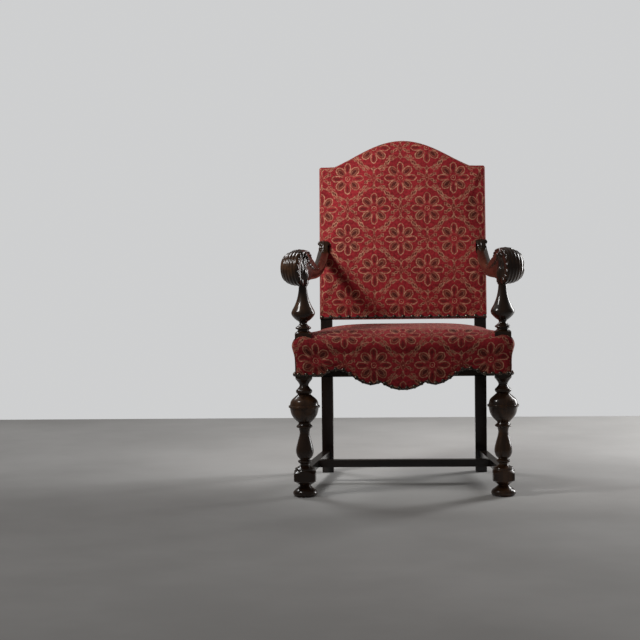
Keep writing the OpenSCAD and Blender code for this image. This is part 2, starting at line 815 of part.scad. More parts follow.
// One coil spring with a waist, as a wire of few sides along a helix
module seat_spring() {
    sides = 5;
    steps = 9;
    n = spring_turns * steps;
    h = rail_h - 2 * wire_r - soft_gap;
    rings = [for (j = [0:n])
        let (t = j / n, a = 360 * spring_turns * t,
             r = spring_r * (1 - 0.36 * sin(180 * t)), z = wire_r + h * t)
        [for (i = [0:sides - 1])
            let (b = 360 * i / sides)
            [(r + wire_r * cos(b)) * cos(a), (r + wire_r * cos(b)) * sin(a),
             z + wire_r * sin(b)]]];
    skin(reversed(rings));
}

module seat_springs() {
    color(steel)
        for (x = [strap_xs[0], strap_xs[2], strap_xs[4]], y = [strap_ys[0], strap_ys[2], strap_ys[4]])
            translate([x, y, rail_z])
                seat_spring();
}

// Back outline in the slope of the back: x across and v along the slope
back_hw = stile_x + rear_hw + soft_gap + cloth;
back_mid_v = back_v0 + 0.5 * back_h;

function back_half(in, low) =
    let (hw = back_hw - in, v0 = back_v0 + low, v1 = back_v1 - in, r = 6)
    concat([for (t = [0, 0.35, 0.7]) [hw * t, v0]], [[hw, v0]],
           [for (t = [0.25, 0.5, 0.75]) [hw, mix(v0, v1, t)]],
           [[hw, v1 - r]], corner(hw - r, v1 - r, r, 0, 90, 1), [[hw - r, v1]],
           [for (i = [12:-1:0]) [crest_x * i / 12, v1 + crest(crest_x * i / 12)]]);

function back_outline(in, low) =
    let (half = back_half(in, low), n = len(half))
    concat(half, [for (i = [n - 2:-1:1]) [-half[i][0], half[i][1]]]);

function back_ring(w, in, low) = [for (p = back_outline(in, low)) [p[0], w, p[1]]];
function back_crown_ring(k, d) =
    let (w = -mix(0.6 * back_crown, back_crown, 1 - pow(k, 2.4)) + d)
    [for (p = back_outline(7 + d, 22 + d)) [p[0] * k, w, back_mid_v + (p[1] - back_mid_v) * k]];

flange_w = -4;
back_steps = [1, 0.85, 0.62, 0.32];

function back_front(d) =
    concat([back_ring(-0.4 * back_crown + d, 2 + d, 15 + d)],
           [for (k = back_steps) back_crown_ring(k, d)]);

// Room for the arm's rear end in the back's cover and stuffing, in front of the rear leg
arm_room_below = 4;
module arm_room(gap) {
    row = arm_rows[1];
    x0 = arm_end_x - row[2] - 3 - gap;
    tall = arm_rows[0][4] - row[3] + 2 * gap;
    v0 = (arm_z + row[3] - gap - rake_z) / cos(rake);
    back_space()
        for (side = [-1, 1])
            mirrored(side)
                translate([x0, -cut_reach, v0 - arm_room_below])
                    cube([cut_reach, cut_reach, tall + 3 * arm_room_below]);
}

module back_cover() {
    outer = concat([back_ring(rear_leg_w, 0, 0), back_ring(flange_w, 0, 0),
                    back_ring(flange_w - 0.5, 0.5, 12)], back_front(0));
    inner = concat([back_ring(rear_leg_w, cloth, cloth), back_ring(flange_w + cloth, cloth, cloth),
                    back_ring(flange_w - 0.5 + cloth, 0.5 + cloth, 12 + cloth)],
                   back_front(cloth));
    top = [0, -back_crown, back_mid_v];
    color(moquette)
        difference() {
            back_space()
                pod(top + [0, cloth, 0], concat(reversed(inner), outer), top);
            back_space()
                for (side = [-1, 1])
                    mirrored(side)
                        translate([stile_x - rear_hw - soft_gap, -soft_gap, 0])
                            cube([rear_leg_w + 2 * soft_gap, 60, back_v0 + 12]);
            arm_room(soft_gap);
        }
}

module back_pad() {
    d = cloth + soft_gap;
    base_w = -2 * strap_t - canvas_t - 2 * soft_gap;
    top = [0, -back_crown + d, back_mid_v];
    color(stuffing)
        difference() {
            back_space()
                pod([0, base_w, back_mid_v],
                    concat([back_ring(base_w, 2 + d, 15 + d)], back_front(d)), top);
            arm_room(soft_gap);
        }
}

// Inside the back: crossed webbing on the frame's front, canvas over it
back_arm_v = (arm_end_z - rake_z) / cos(rake);

module back_webbing_long() {
    v0 = back_v0 + cloth + soft_gap + 14;
    color(jute)
        back_space()
            for (x = [for (i = [-2:2]) i * back_strap_step]) {
                v1 = back_v1 - 16;
                translate([x - strap_w / 2, -strap_t, v0])
                    cube([strap_w, strap_t, v1 - v0]);
            }
}

module back_webbing_cross() {
    v0 = back_v0 + 53 + strap_w / 2;
    v1 = back_v1 - 49 - strap_w / 2;
    half = stile_x + rear_hw - 12;
    color(jute)
        back_space()
            for (i = [0:4])
                if (abs(mix(v0, v1, i / 4) - back_arm_v) > 52)
                    translate([-half, -2 * strap_t, mix(v0, v1, i / 4) - strap_w / 2])
                        cube([2 * half, strap_t, strap_w]);
                else
                    translate([-half + 44, -2 * strap_t, mix(v0, v1, i / 4) - strap_w / 2])
                        cube([2 * half - 88, strap_t, strap_w]);
}

module back_canvas() {
    w = -2 * strap_t - soft_gap;
    color(jute)
        difference() {
            back_space()
                translate([0, w, 0])
                    rotate([90, 0, 0])
                        linear_extrude(canvas_t)
                            polygon(back_outline(10, 18));
            arm_room(soft_gap);
        }
}

module outside_back_cover() {
    color(moquette)
        back_space()
            translate([0, rear_leg_w + soft_gap + cloth, 0])
                rotate([90, 0, 0])
                    linear_extrude(cloth)
                        polygon(back_outline(0.5, 0.5));
}

// Gimp braid along the lower edge of the seat and of the back
module seat_gimp_wall() {
    linear_extrude(rail_z + cut_reach)
        difference() {
            polygon(seat_outline(gimp_t));
            polygon(seat_outline(0));
        }
}

module seat_gimp() {
    xs = concat([for (x = reversed(half_xs)) -x], [for (i = [1:len(half_xs) - 1]) half_xs[i]]);
    low = [for (x = xs) [x, rail_z + apron_drop(x)]];
    high = [for (p = reversed(low)) [p[0], p[1] + gimp_w]];
    far = seat_hw + 20;
    color(braid)
        difference() {
            union() {
                intersection() {
                    seat_gimp_wall();
                    translate([0, side_y0, 0])
                        rotate([90, 0, 0])
                            linear_extrude(cut_reach)
                                polygon(concat([[-far, rail_z]], low, [[far, rail_z],
                                               [far, rail_z + gimp_w]], high,
                                               [[-far, rail_z + gimp_w]]));
                }
                intersection() {
                    seat_gimp_wall();
                    translate([-far, side_y0 - 1, rail_z])
                        cube([2 * far, leg_depth + cut_reach, gimp_w]);
                }
            }
            translate([0, 0, rail_z - gimp_w])
                for (side = [-1, 1])
                    mirrored(side)
                        translate([stile_x - rear_hw - soft_gap, stile_y - soft_gap, 0])
                            cube([cut_reach, cut_reach, 3 * gimp_w]);
        }
}

module back_gimp() {
    color(braid)
        back_space()
            translate([-back_hw, flange_w - 0.5 - gimp_t, back_v0])
                cube([2 * back_hw, gimp_t, gimp_w]);
}

// Nails: domed heads side by side on the gimp
module nail() {
    n = 4;
    rotate_extrude($fn = 24)
        polygon(concat([[0, 0]], [for (i = [0:n - 1])
            [nail_r * cos(90 * i / n), nail_h * sin(90 * i / n)]], [[0, nail_h]]));
}

// Points at an even pitch along the front's lower edge, as [x, height]
front_line = [for (i = [-66:66])
    let (x = (seat_hw - corner_r) * i / 66) [x, rail_z + apron_drop(x) + gimp_w / 2]];
front_steps = [for (i = [1:len(front_line) - 1]) norm(front_line[i] - front_line[i - 1])];
front_length = sum_to(front_steps, len(front_steps));
front_lookup = [for (i = [0:len(front_line) - 1]) [sum_to(front_steps, i), front_line[i][0]]];
front_nails = round(front_length / nail_pitch);

module seat_nails_front() {
    z = rail_z + gimp_w / 2;
    color(bronze)
        for (i = [0:front_nails]) {
            x = lookup(front_length * i / front_nails, front_lookup);
            translate([x, seat_front - gimp_t, z + apron_drop(x)])
                rotate([90, 0, 0]) nail();
        }
}

seat_side_turn = atan((seat_hw - seat_rear_hw) / (seat_rear - side_y0));

module seat_nails_side(side) {
    side_len = norm([seat_hw - seat_rear_hw, stile_y - side_y0]);
    count = floor((side_len - 2 * nail_r) / nail_pitch);
    z = rail_z + gimp_w / 2;
    color(bronze)
        mirrored(side) {
            for (i = [0:1])
                translate([seat_hw + gimp_t, seat_front + corner_r + nail_r + i * nail_pitch, z])
                    rotate([0, 90, 0]) nail();
            translate([seat_hw + gimp_t / cos(side_turn), side_y0, z])
                rotate([0, 0, seat_side_turn])
                    for (i = [1:count])
                        translate([0, i * nail_pitch, 0])
                            rotate([0, 90, 0]) nail();
        }
}

module seat_nails_rear() {
    span = 2 * (stile_x - rear_hw) - 3 * nail_r;
    count = floor(span / nail_pitch);
    color(bronze)
        for (i = [0:count])
            translate([span * (i / count - 0.5), seat_rear, rail_z + gimp_w / 2])
                rotate([-90, 0, 0]) nail();
}

module back_nails() {
    span = 2 * (back_hw - nail_r - 1);
    n = round(span / back_nail_pitch);
    color(bronze)
        back_space()
            for (i = [0:n])
                translate([span * (i / n - 0.5), flange_w - 0.5 - gimp_t, back_v0 + gimp_w / 2])
                    rotate([90, 0, 0]) nail();
}

outside_span = 2 * (back_hw - nail_in);

module outside_back_nails_sides() {
    tall = back_h - 2 * nail_in;
    count = round(tall / back_nail_pitch);
    color(bronze)
        back_space()
            for (side = [-1, 1], i = [1:count - 1])
                translate([side * outside_span / 2, outer_w, back_v0 + nail_in + tall * i / count])
                    rotate([-90, 0, 0]) nail();
}

module outside_back_nails_ends() {
    count = 2 * round(outside_span / back_nail_pitch / 2);
    color(bronze)
        back_space()
            for (i = [0:count]) {
                x = outside_span * (i / count - 0.5);
                translate([x, outer_w, back_v1 - nail_in + crest(x)])
                    rotate([-90, 0, 0]) nail();
                translate([x, outer_w, back_v0 + nail_in])
                    rotate([-90, 0, 0]) nail();
            }
}

front_leg(-1);  // front_leg_left
front_leg(1);  // front_leg_right
rear_leg(-1);  // rear_leg_left
rear_leg(1);  // rear_leg_right
front_rail();
rear_rail();
side_rail(-1);  // side_rail_left
side_rail(1);  // side_rail_right
front_apron();
corner_blocks();
back_top_rail();
back_bottom_rail();
side_stretcher(-1);  // side_stretcher_left
side_stretcher(1);  // side_stretcher_right
cross_stretcher();
arm(-1);  // arm_left
arm(1);  // arm_right
arm_screws();
seat_webbing_long();
seat_webbing_cross();
seat_springs();
seat_canvas();
seat_pad();
seat_cover();
seat_dust_cover();
back_webbing_long();
back_webbing_cross();
back_canvas();
back_pad();
back_cover();
outside_back_cover();
seat_gimp();
back_gimp();
seat_nails_front();
seat_nails_side(-1);  // seat_nails_left
seat_nails_side(1);  // seat_nails_right
seat_nails_rear();
back_nails();
outside_back_nails_sides();
outside_back_nails_ends();
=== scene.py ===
"""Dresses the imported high-back armchair.

The wood is dark polished walnut with carved arms, and the seat and back are stuffed and
covered in a crimson cut velvet, trimmed with dark braid and domed nails. Metres, +Z up; the
chair faces -Y and "left" is the side at -X, as in the frame.
"""

import json
import logging
import math
from collections.abc import Callable, Iterator
from contextlib import contextmanager
from dataclasses import dataclass, field
from enum import Enum

import bpy
import numpy as np
from mathutils import Matrix, Vector
from mathutils.bvhtree import BVHTree

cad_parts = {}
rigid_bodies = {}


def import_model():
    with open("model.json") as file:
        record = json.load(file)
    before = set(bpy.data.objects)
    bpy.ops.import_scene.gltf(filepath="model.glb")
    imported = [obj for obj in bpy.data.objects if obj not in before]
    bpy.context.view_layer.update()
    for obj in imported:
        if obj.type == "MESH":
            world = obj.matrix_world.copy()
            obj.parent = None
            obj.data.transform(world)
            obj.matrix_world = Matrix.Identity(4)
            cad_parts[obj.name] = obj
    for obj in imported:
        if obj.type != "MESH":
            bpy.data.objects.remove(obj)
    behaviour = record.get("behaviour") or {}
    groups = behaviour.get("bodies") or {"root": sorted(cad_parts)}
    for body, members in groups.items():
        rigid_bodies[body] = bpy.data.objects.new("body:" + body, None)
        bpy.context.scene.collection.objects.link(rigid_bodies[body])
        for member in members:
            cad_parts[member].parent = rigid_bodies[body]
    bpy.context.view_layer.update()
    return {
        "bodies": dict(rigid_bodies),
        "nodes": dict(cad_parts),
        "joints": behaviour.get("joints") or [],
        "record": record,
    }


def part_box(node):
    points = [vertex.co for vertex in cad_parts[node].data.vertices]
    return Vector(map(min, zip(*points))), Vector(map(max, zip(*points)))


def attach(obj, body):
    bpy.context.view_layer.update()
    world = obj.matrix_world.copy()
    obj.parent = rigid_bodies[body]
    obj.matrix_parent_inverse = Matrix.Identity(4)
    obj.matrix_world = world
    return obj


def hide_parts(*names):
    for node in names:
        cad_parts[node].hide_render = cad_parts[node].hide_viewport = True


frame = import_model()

log = logging.getLogger("armchair")

Piece = bpy.types.Object
Material = bpy.types.Material
Array = np.ndarray
Names = tuple[str, ...]
Pair = tuple[float, float]
Triple = tuple[float, float, float]
MM = 0.001
ROOT = "root"
SEED = 7
CLOTH_MAP = "cloth"
BORDER = 0.9999  # On a sheet from -1 to 1, the share past which a point is on its border
DIAGONAL = 0.7071  # The cosine of 45 degrees


class Slot(Enum):
    """Names of the record's material slots; no piece in this script is given one."""

    WALNUT = "walnut"
    MOQUETTE = "moquette"
    STUFFING = "stuffing"
    DUST_CLOTH = "dust_cloth"
    BRAID = "braid"
    BRONZE = "bronze"


class Grain(Enum):
    """The axis that a piece of wood's grain runs along."""

    X = (0.09, 1.0, 1.0)
    Y = (1.0, 0.09, 1.0)
    Z = (1.0, 1.0, 0.09)


class Side(Enum):
    """A side of the chair, as the sign of its x values."""

    LEFT = -1
    RIGHT = 1

    def span(self, first: float, second: float) -> list[float]:
        """Two distances from the chair's middle as the low and the high x on this side."""
        return sorted((self.value * first, self.value * second))


# Mesh tools


def clear_selection() -> None:
    """Leaves nothing selected and nothing active."""
    for obj in bpy.context.selected_objects:
        obj.select_set(False)
    bpy.context.view_layer.objects.active = None


def pick(obj: Piece) -> None:
    """Selects one object alone and makes it active.

    Args:
        obj: the object.
    """
    clear_selection()
    obj.select_set(True)
    bpy.context.view_layer.objects.active = obj


def add_primitive(operator: Callable[..., set], name: str, **settings: object) -> Piece:
    """Adds a primitive with nothing else selected.

    Args:
        operator: the primitive's operator from bpy.ops.mesh.
        name: the new object's name.
        settings: the operator's own settings.

    Returns:
        The new object, with its place applied to its mesh.
    """
    clear_selection()
    operator(**settings)
    obj = bpy.context.object
    obj.name = name
    obj.data.name = name
    bpy.ops.object.transform_apply(location=True, rotation=True, scale=True)
    return obj


def add_sheet(name: str, across: int, along: int) -> Piece:
    """Adds a square sheet from -1 to 1, whose places are the shares that a shape reads."""
    return add_primitive(bpy.ops.mesh.primitive_grid_add, name, x_subdivisions=across,
                         y_subdivisions=along, size=2)


@contextmanager
def editing(obj: Piece, mode: str = "VERT") -> Iterator[None]:
    """Holds an object in edit mode for the length of a with block.

    Args:
        obj: the object to edit.
        mode: what is selected there, VERT, EDGE or FACE.

    Returns:
        The block's context.
    """
    pick(obj)
    bpy.ops.object.mode_set(mode="EDIT")
    bpy.ops.mesh.select_mode(type=mode)
    yield
    bpy.ops.object.mode_set(mode="OBJECT")


def places(obj: Piece) -> Array:
    """The object's vertex places as an array of rows.

    Args:
        obj: the object, or what its modifiers make of it.

    Returns:
        A row of x, y and z for each vertex.
    """
    flat = np.empty(len(obj.data.vertices) * 3)
    obj.data.vertices.foreach_get("co", flat)
    return flat.reshape(-1, 3)


def move_to(obj: Piece, points: Array) -> None:
    """Puts the object's vertices at new places."""
    obj.data.vertices.foreach_set("co", np.ascontiguousarray(points, dtype=float).ravel())
    obj.data.update()


def apply_modifier(obj: Piece, kind: str, **settings: object) -> None:
    """Adds a modifier with its settings and applies it.

    Args:
        obj: the object that is changed.
        kind: the modifier's type.
        settings: the modifier's properties.
    """
    pick(obj)
    modifier = obj.modifiers.new(kind.title(), kind)
    for name, value in settings.items():
        setattr(modifier, name, value)
    bpy.ops.object.modifier_apply(modifier=modifier.name)


def merge_doubles(obj: Piece, distance: float = 0.00001) -> None:
    """Joins an object's coinciding vertices and turns its faces outward.

    Args:
        obj: the object.
        distance: how far apart they may lie, in metres.
    """
    with editing(obj):
        bpy.ops.mesh.select_all(action="SELECT")
        bpy.ops.mesh.remove_doubles(threshold=distance)
        bpy.ops.mesh.normals_make_consistent(inside=False)


def face_outward(obj: Piece, probe: int = 0, way: Vector | None = None) -> None:
    """Turns the faces of a skin to one side.

    Args:
        obj: the skin.
        probe: the number of the face that shows which side it is.
        way: a direction that this face should point along, where the skin is open.
    """
    with editing(obj, "FACE"):
        bpy.ops.mesh.select_all(action="SELECT")
        bpy.ops.mesh.normals_make_consistent(inside=False)
    if way is not None and obj.data.polygons[probe].normal.dot(way) < 0:
        with editing(obj, "FACE"):
            bpy.ops.mesh.select_all(action="SELECT")
            bpy.ops.mesh.flip_normals()


def smooth_faces(obj: Piece, degrees: float = 40.0) -> None:
    """Shades an object smooth, apart from edges sharper than an angle."""
    pick(obj)
    bpy.ops.object.shade_smooth_by_angle(angle=math.radians(degrees))


def skin_tree(obj: Piece) -> BVHTree:
    """The object's faces in a tree that finds the nearest of them."""
    return BVHTree.FromPolygons([v.co.copy() for v in obj.data.vertices],
                                [tuple(p.vertices) for p in obj.data.polygons])


def aimed(way: Vector, axis: str = "Z") -> Matrix:
    """The turn that points an object's own axis along a direction."""
    return way.to_track_quat(axis, "Y").to_matrix().to_4x4()


def copy_piece(source: Piece, name: str) -> Piece:
    """A copy of an object with its own mesh, free of parents and marks.

    Args:
        source: the object to copy.
        name: the copy's name.

    Returns:
        The copy, at the origin.
    """
    mesh = source.data.copy()
    mesh.name = name
    mesh.materials.clear()
    obj = bpy.data.objects.new(name, mesh)
    bpy.context.scene.collection.objects.link(obj)
    return obj


def join_pieces(pieces: list[Piece], name: str) -> Piece:
    """Joins several objects into the first one.

    Args:
        pieces: the objects, each with its own mesh.
        name: the joined object's name.

    Returns:
        The joined object.
    """
    pick(pieces[0])
    for obj in pieces[1:]:
        obj.select_set(True)
    bpy.ops.object.join()
    joined = bpy.context.object
    joined.name = name
    joined.data.name = name
    return joined


def cut_window(obj: Piece, low: Vector, high: Vector, turn: Matrix | None = None) -> None:
    """Cuts a window with clean edges out of a skin, before the skin gets its thickness.

    Args:
        obj: the skin.
        low: the lowest corner of the box that the window clears.
        high: its highest corner.
        turn: a matrix that the box is moved by, if it isn't square to the frame.
    """
    turn = turn or Matrix.Identity(4)
    back = turn.inverted()
    margin = Vector((12.0, 12.0, 12.0)) * MM

    def choose(grow: Vector) -> None:
        """Selects the faces whose middles lie in the box, grown on all sides.

        Args:
            grow: how far it is grown along each axis.
        """
        bpy.ops.object.mode_set(mode="OBJECT")
        for face in obj.data.polygons:
            place = back @ face.center
            face.select = all(low[i] - grow[i] < place[i] < high[i] + grow[i] for i in range(3))
        bpy.ops.object.mode_set(mode="EDIT")

    with editing(obj, "FACE"):
        for axis in range(3):
            for corner in (low, high):
                choose(margin)
                way = Vector((0.0, 0.0, 0.0))
                way[axis] = 1.0
                bpy.ops.mesh.bisect(plane_co=turn @ corner, plane_no=turn.to_3x3() @ way,
                                    threshold=0.00005)
        choose(Vector((0.0, 0.0, 0.0)))
        bpy.ops.mesh.delete(type="FACE")


def dress(obj: Piece, finish: Material) -> None:
    """Gives a piece its material and lets it ride on the chair.

    Args:
        obj: the piece.
        finish: its material.
    """
    obj.data.materials.clear()
    obj.data.materials.append(finish)
    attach(obj, ROOT)


def dress_nodes(names: Names, material: Material) -> None:
    """Gives several of the frame's nodes one material.

    Args:
        names: the nodes.
        material: their material.
    """
    for name in names:
        obj = frame["nodes"][name]
        obj.data.materials.clear()
        obj.data.materials.append(material)


# Shader tools


class Tree:
    """A material's node tree, with one method that adds any node."""

    def __init__(self, name: str) -> None:
        """Starts a material with only its Principled shader and output.

        Args:
            name: the material's name.
        """
        self.material = bpy.data.materials.new(name)
        self.material.use_nodes = True
        self.nodes = self.material.node_tree.nodes
        self.links = self.material.node_tree.links
        self.shader = self.nodes["Principled BSDF"]

    def node(self, kind: str, settings: dict[str, object] | None = None,
             inputs: dict[str | int, object] | None = None) -> bpy.types.Node:
        """Adds a node.

        Args:
            kind: the node's type, without its ShaderNode prefix.
            settings: its properties, which are set first.
            inputs: values or Signals for its sockets, by name or number.

        Returns:
            The node.
        """
        node = self.nodes.new("ShaderNode" + kind)
        for name, value in (settings or {}).items():
            setattr(node, name, value)
        for key, value in (inputs or {}).items():
            self.feed(node.inputs[key], value)
        return node

    def feed(self, socket: bpy.types.NodeSocket, value: object) -> None:
        """Links a Signal to a socket, or sets the socket's own value."""
        if isinstance(value, Signal):
            self.links.new(value.socket, socket)
        else:
            socket.default_value = value

    def ramp(self, factor: "Signal", stops: list[tuple[float, Triple]]
             ) -> "Signal":
        """A colour ramp over a factor.

        Args:
            factor: the value from 0 to 1.
            stops: places and linear colours.

        Returns:
            The colour.
        """
        node = self.node("ValToRGB", inputs={"Fac": factor})
        ramp = node.color_ramp
        while len(ramp.elements) < len(stops):
            ramp.elements.new(0.5)
        for element, (place, colour) in zip(ramp.elements, stops):
            element.position = place
            element.color = (*colour, 1.0)
        return Signal(self, node.outputs["Color"])

    def blend(self, factor: "Signal | float", first: "Signal | Triple",
              second: "Signal | Triple") -> "Signal":
        """Mixes two colours.

        Args:
            factor: the share of the second colour.
            first: a linear colour or a Signal.
            second: a linear colour or a Signal.

        Returns:
            The mixed colour.
        """
        ends = [end if isinstance(end, Signal) else (*end, 1.0) for end in (first, second)]
        node = self.node("Mix", {"data_type": "RGBA", "blend_type": "MIX", "clamp_factor": True},
                         {0: factor, 6: ends[0], 7: ends[1]})
        return Signal(self, node.outputs[2])

    def noise(self, where: "Signal", scale: float, detail: float = 2.0,
              roughness: float = 0.5) -> "Signal":
        """Noise from 0 to 1 over a vector."""
        node = self.node("TexNoise", inputs={"Vector": where, "Scale": scale, "Detail": detail,
                                             "Roughness": roughness})
        return Signal(self, node.outputs["Fac"])

    def object_place(self, stretch: Triple = (1.0, 1.0, 1.0)) -> "Signal":
        """The point's place in the frame, stretched by a factor on each axis.

        Args:
            stretch: the factors.

        Returns:
            The stretched place.
        """
        where = Signal(self, self.node("TexCoord").outputs["Object"])
        node = self.node("Mapping", inputs={"Vector": where, "Scale": stretch})
        return Signal(self, node.outputs["Vector"])

    def cloth_place(self) -> "Signal":
        """The point's place along the piece's own cloth map, in metres."""
        return Signal(self, self.node("UVMap", {"uv_map": CLOTH_MAP}).outputs["UV"])

    def parts(self, vector: "Signal") -> list["Signal"]:
        """The three parts of a vector."""
        node = self.node("SeparateXYZ", inputs={"Vector": vector})
        return [Signal(self, output) for output in node.outputs]

    def rounded(self, radius: float) -> "Signal":
        """The surface's normal with its edges rounded."""
        return Signal(self, self.node("Bevel", {"samples": 6}, {"Radius": radius}).outputs[0])

    def worn_edge(self, radius: float) -> "Signal":
        """How far the point lies on an edge, from 0 on a flat to about 1 on a sharp arris.

        Args:
            radius: how far from the edge it reaches, in metres.

        Returns:
            The wear.
        """
        true = Signal(self, self.node("NewGeometry").outputs["Normal"])
        node = self.node("VectorMath", {"operation": "DOT_PRODUCT"},
                         {0: self.rounded(radius), 1: true})
        return (1.0 - Signal(self, node.outputs["Value"])).fade(0.02, 0.25)

    def relief(self, height: "Signal", depth: float, strength: float = 1.0,
               under: "Signal | None" = None) -> "Signal":
        """A bump normal from a height.

        Args:
            height: the height, from 0 to 1.
            depth: the metres that 1 stands for.
            strength: the share of the relief that shows.
            under: the normal that it is laid on.

        Returns:
            The normal.
        """
        inputs: dict[str | int, object] = {"Height": height, "Distance": depth,
                                           "Strength": strength}
        if under is not None:
            inputs["Normal"] = under
        return Signal(self, self.node("Bump", inputs=inputs).outputs[0])

    def finish(self, colour: "Signal", roughness: "Signal | float", normal: "Signal",
               constants: dict[str, object]) -> Material:
        """Feeds the shader.

        Args:
            colour: the base colour.
            roughness: a Signal or a number.
            normal: the bump normal.
            constants: values set on the shader's own sockets.

        Returns:
            The material.
        """
        self.feed(self.shader.inputs["Base Color"], colour)
        self.feed(self.shader.inputs["Roughness"], roughness)
        self.feed(self.shader.inputs["Normal"], normal)
        for name, value in constants.items():
            self.shader.inputs[name].default_value = value
        return self.material


class Signal:
    """A socket that can be added, multiplied and compared as a number."""

    def __init__(self, tree: Tree, socket: bpy.types.NodeSocket) -> None:
        """Wraps a socket of a tree."""
        self.tree = tree
        self.socket = socket

    def maths(self, operation: str, *others: object) -> "Signal":
        """Adds a Math node with this value first.

        Args:
            operation: the node's operation.
            others: its second and third values.

        Returns:
            The result.
        """
        inputs: dict[str | int, object] = {0: self}
        inputs.update({i + 1: value for i, value in enumerate(others)})
        node = self.tree.node("Math", {"operation": operation}, inputs)
        return Signal(self.tree, node.outputs[0])

    def __add__(self, other: "Signal | float") -> "Signal":
        """This plus another."""
        return self.maths("ADD", other)

    __radd__ = __add__

    def __sub__(self, other: "Signal | float") -> "Signal":
        """This minus another."""
        return self.maths("SUBTRACT", other)

    def __rsub__(self, other: float) -> "Signal":
        """A number minus this."""
        return self.maths("MULTIPLY_ADD", -1.0, other)

    def __mul__(self, other: "Signal | float") -> "Signal":
        """This times another."""
        return self.maths("MULTIPLY", other)

    __rmul__ = __mul__

    def __abs__(self) -> "Signal":
        """This without its sign."""
        return self.maths("ABSOLUTE")

    def least(self, other: "Signal | float") -> "Signal":
        """The smaller of this and another."""
        return self.maths("MINIMUM", other)

    def most(self, other: "Signal | float") -> "Signal":
        """The larger of this and another."""
        return self.maths("MAXIMUM", other)

    def below(self, other: "Signal | float") -> "Signal":
        """1 where this is smaller than another, and 0 elsewhere."""
        return self.maths("LESS_THAN", other)

    def wrapped(self, half: float) -> "Signal":
        """This brought into -half to half by whole periods."""
        return self.maths("WRAP", half, -half)

    def waves(self, period: float) -> "Signal":
        """Waves from 0 to 1 over this value."""
        return (self * (2 * math.pi / period)).maths("SINE") * 0.5 + 0.5

    def fade(self, low: float, high: float) -> "Signal":
        """0 below low and 1 above high, with a smooth step between."""
        node = self.tree.node("MapRange", {"interpolation_type": "SMOOTHSTEP"},
                              {0: self, 1: low, 2: high, 3: 0.0, 4: 1.0})
        return Signal(self.tree, node.outputs[0])


def reach(x: Signal, y: Signal) -> Signal:
    """The distance of the point (x, y) from the origin."""
    return (x * x + y * y).maths("SQRT")


# Finishes


@dataclass(frozen=True)
class PolishedWalnut:
    """Dark stained and polished walnut, browner on worn arrises and dull in its hollows."""

    dark: Triple = (0.0080, 0.0038, 0.0021)
    middle: Triple = (0.0310, 0.0138, 0.0062)
    warm: Triple = (0.110, 0.049, 0.0190)
    worn: Triple = (0.18, 0.090, 0.045)
    figure_scale: float = 26.0
    pore_scale: float = 420.0
    edge_reach: float = 2.2 * MM
    rounding: float = 1.1 * MM
    pore_depth: float = 0.5 * MM
    name: str = "polished_walnut"

    def build(self, grain: Grain) -> Material:
        """Makes the material.

        Args:
            grain: the axis that the grain follows.

        Returns:
            The material.
        """
        tree = Tree(f"{self.name}_{grain.name.lower()}")
        along = tree.object_place(grain.value)
        plain = tree.object_place()
        drift = tree.noise(plain, 5.0, 2.0)
        figure = tree.noise(along, self.figure_scale, 6.0, 0.62)
        pores = tree.noise(along, self.pore_scale, 2.0, 0.7)
        blotch = tree.noise(plain, 16.0, 3.0)
        tone = figure * 0.75 + drift * 0.35
        colour = tree.ramp(tone.fade(0.30, 0.86), [(0.0, self.dark), (0.5, self.middle),
                                                   (1.0, self.warm)])
        pore_mask = pores.fade(0.60, 0.72)
        colour = tree.blend(pore_mask * 0.55, colour, self.dark)
        edge = tree.worn_edge(self.edge_reach)
        rub = edge * blotch.fade(0.42, 0.66)
        colour = tree.blend(rub * 0.75, colour, self.worn)
        fingers = tree.noise(plain, 60.0, 4.0, 0.6)
        roughness = 0.22 + fingers * 0.20 + pore_mask * 0.2 + blotch.fade(0.5, 0.8) * 0.12
        height = 0.6 + figure * 0.3 - pore_mask * 0.5 + fingers * 0.1
        normal = tree.relief(height, self.pore_depth, 0.35, tree.rounded(self.rounding))
        return tree.finish(colour, roughness, normal,
                           {"Coat Weight": 0.7, "Coat Roughness": 0.12, "Coat IOR": 1.5,
                            "Specular IOR Level": 0.14})


@dataclass(frozen=True)
class PlainBeech:
    """Unpolished frame wood, a little dusty."""

    light: Triple = (0.46, 0.30, 0.17)
    dark: Triple = (0.27, 0.16, 0.085)
    name: str = "plain_beech"

    def build(self, grain: Grain) -> Material:
        """Makes the material.

        Args:
            grain: the axis that the grain follows.

        Returns:
            The material.
        """
        tree = Tree(f"{self.name}_{grain.name.lower()}")
        along = tree.object_place(grain.value)
        figure = tree.noise(along, 40.0, 5.0, 0.6)
        fleck = tree.noise(along, 500.0, 2.0, 0.6)
        colour = tree.ramp(figure.fade(0.3, 0.75), [(0.0, self.dark), (1.0, self.light)])
        colour = tree.blend(fleck.fade(0.6, 0.75) * 0.4, colour, self.dark)
        normal = tree.relief(figure + fleck * 0.5, 0.0006, 0.5)
        return tree.finish(colour, 0.62 + figure * 0.2, normal, {"Specular IOR Level": 0.3})


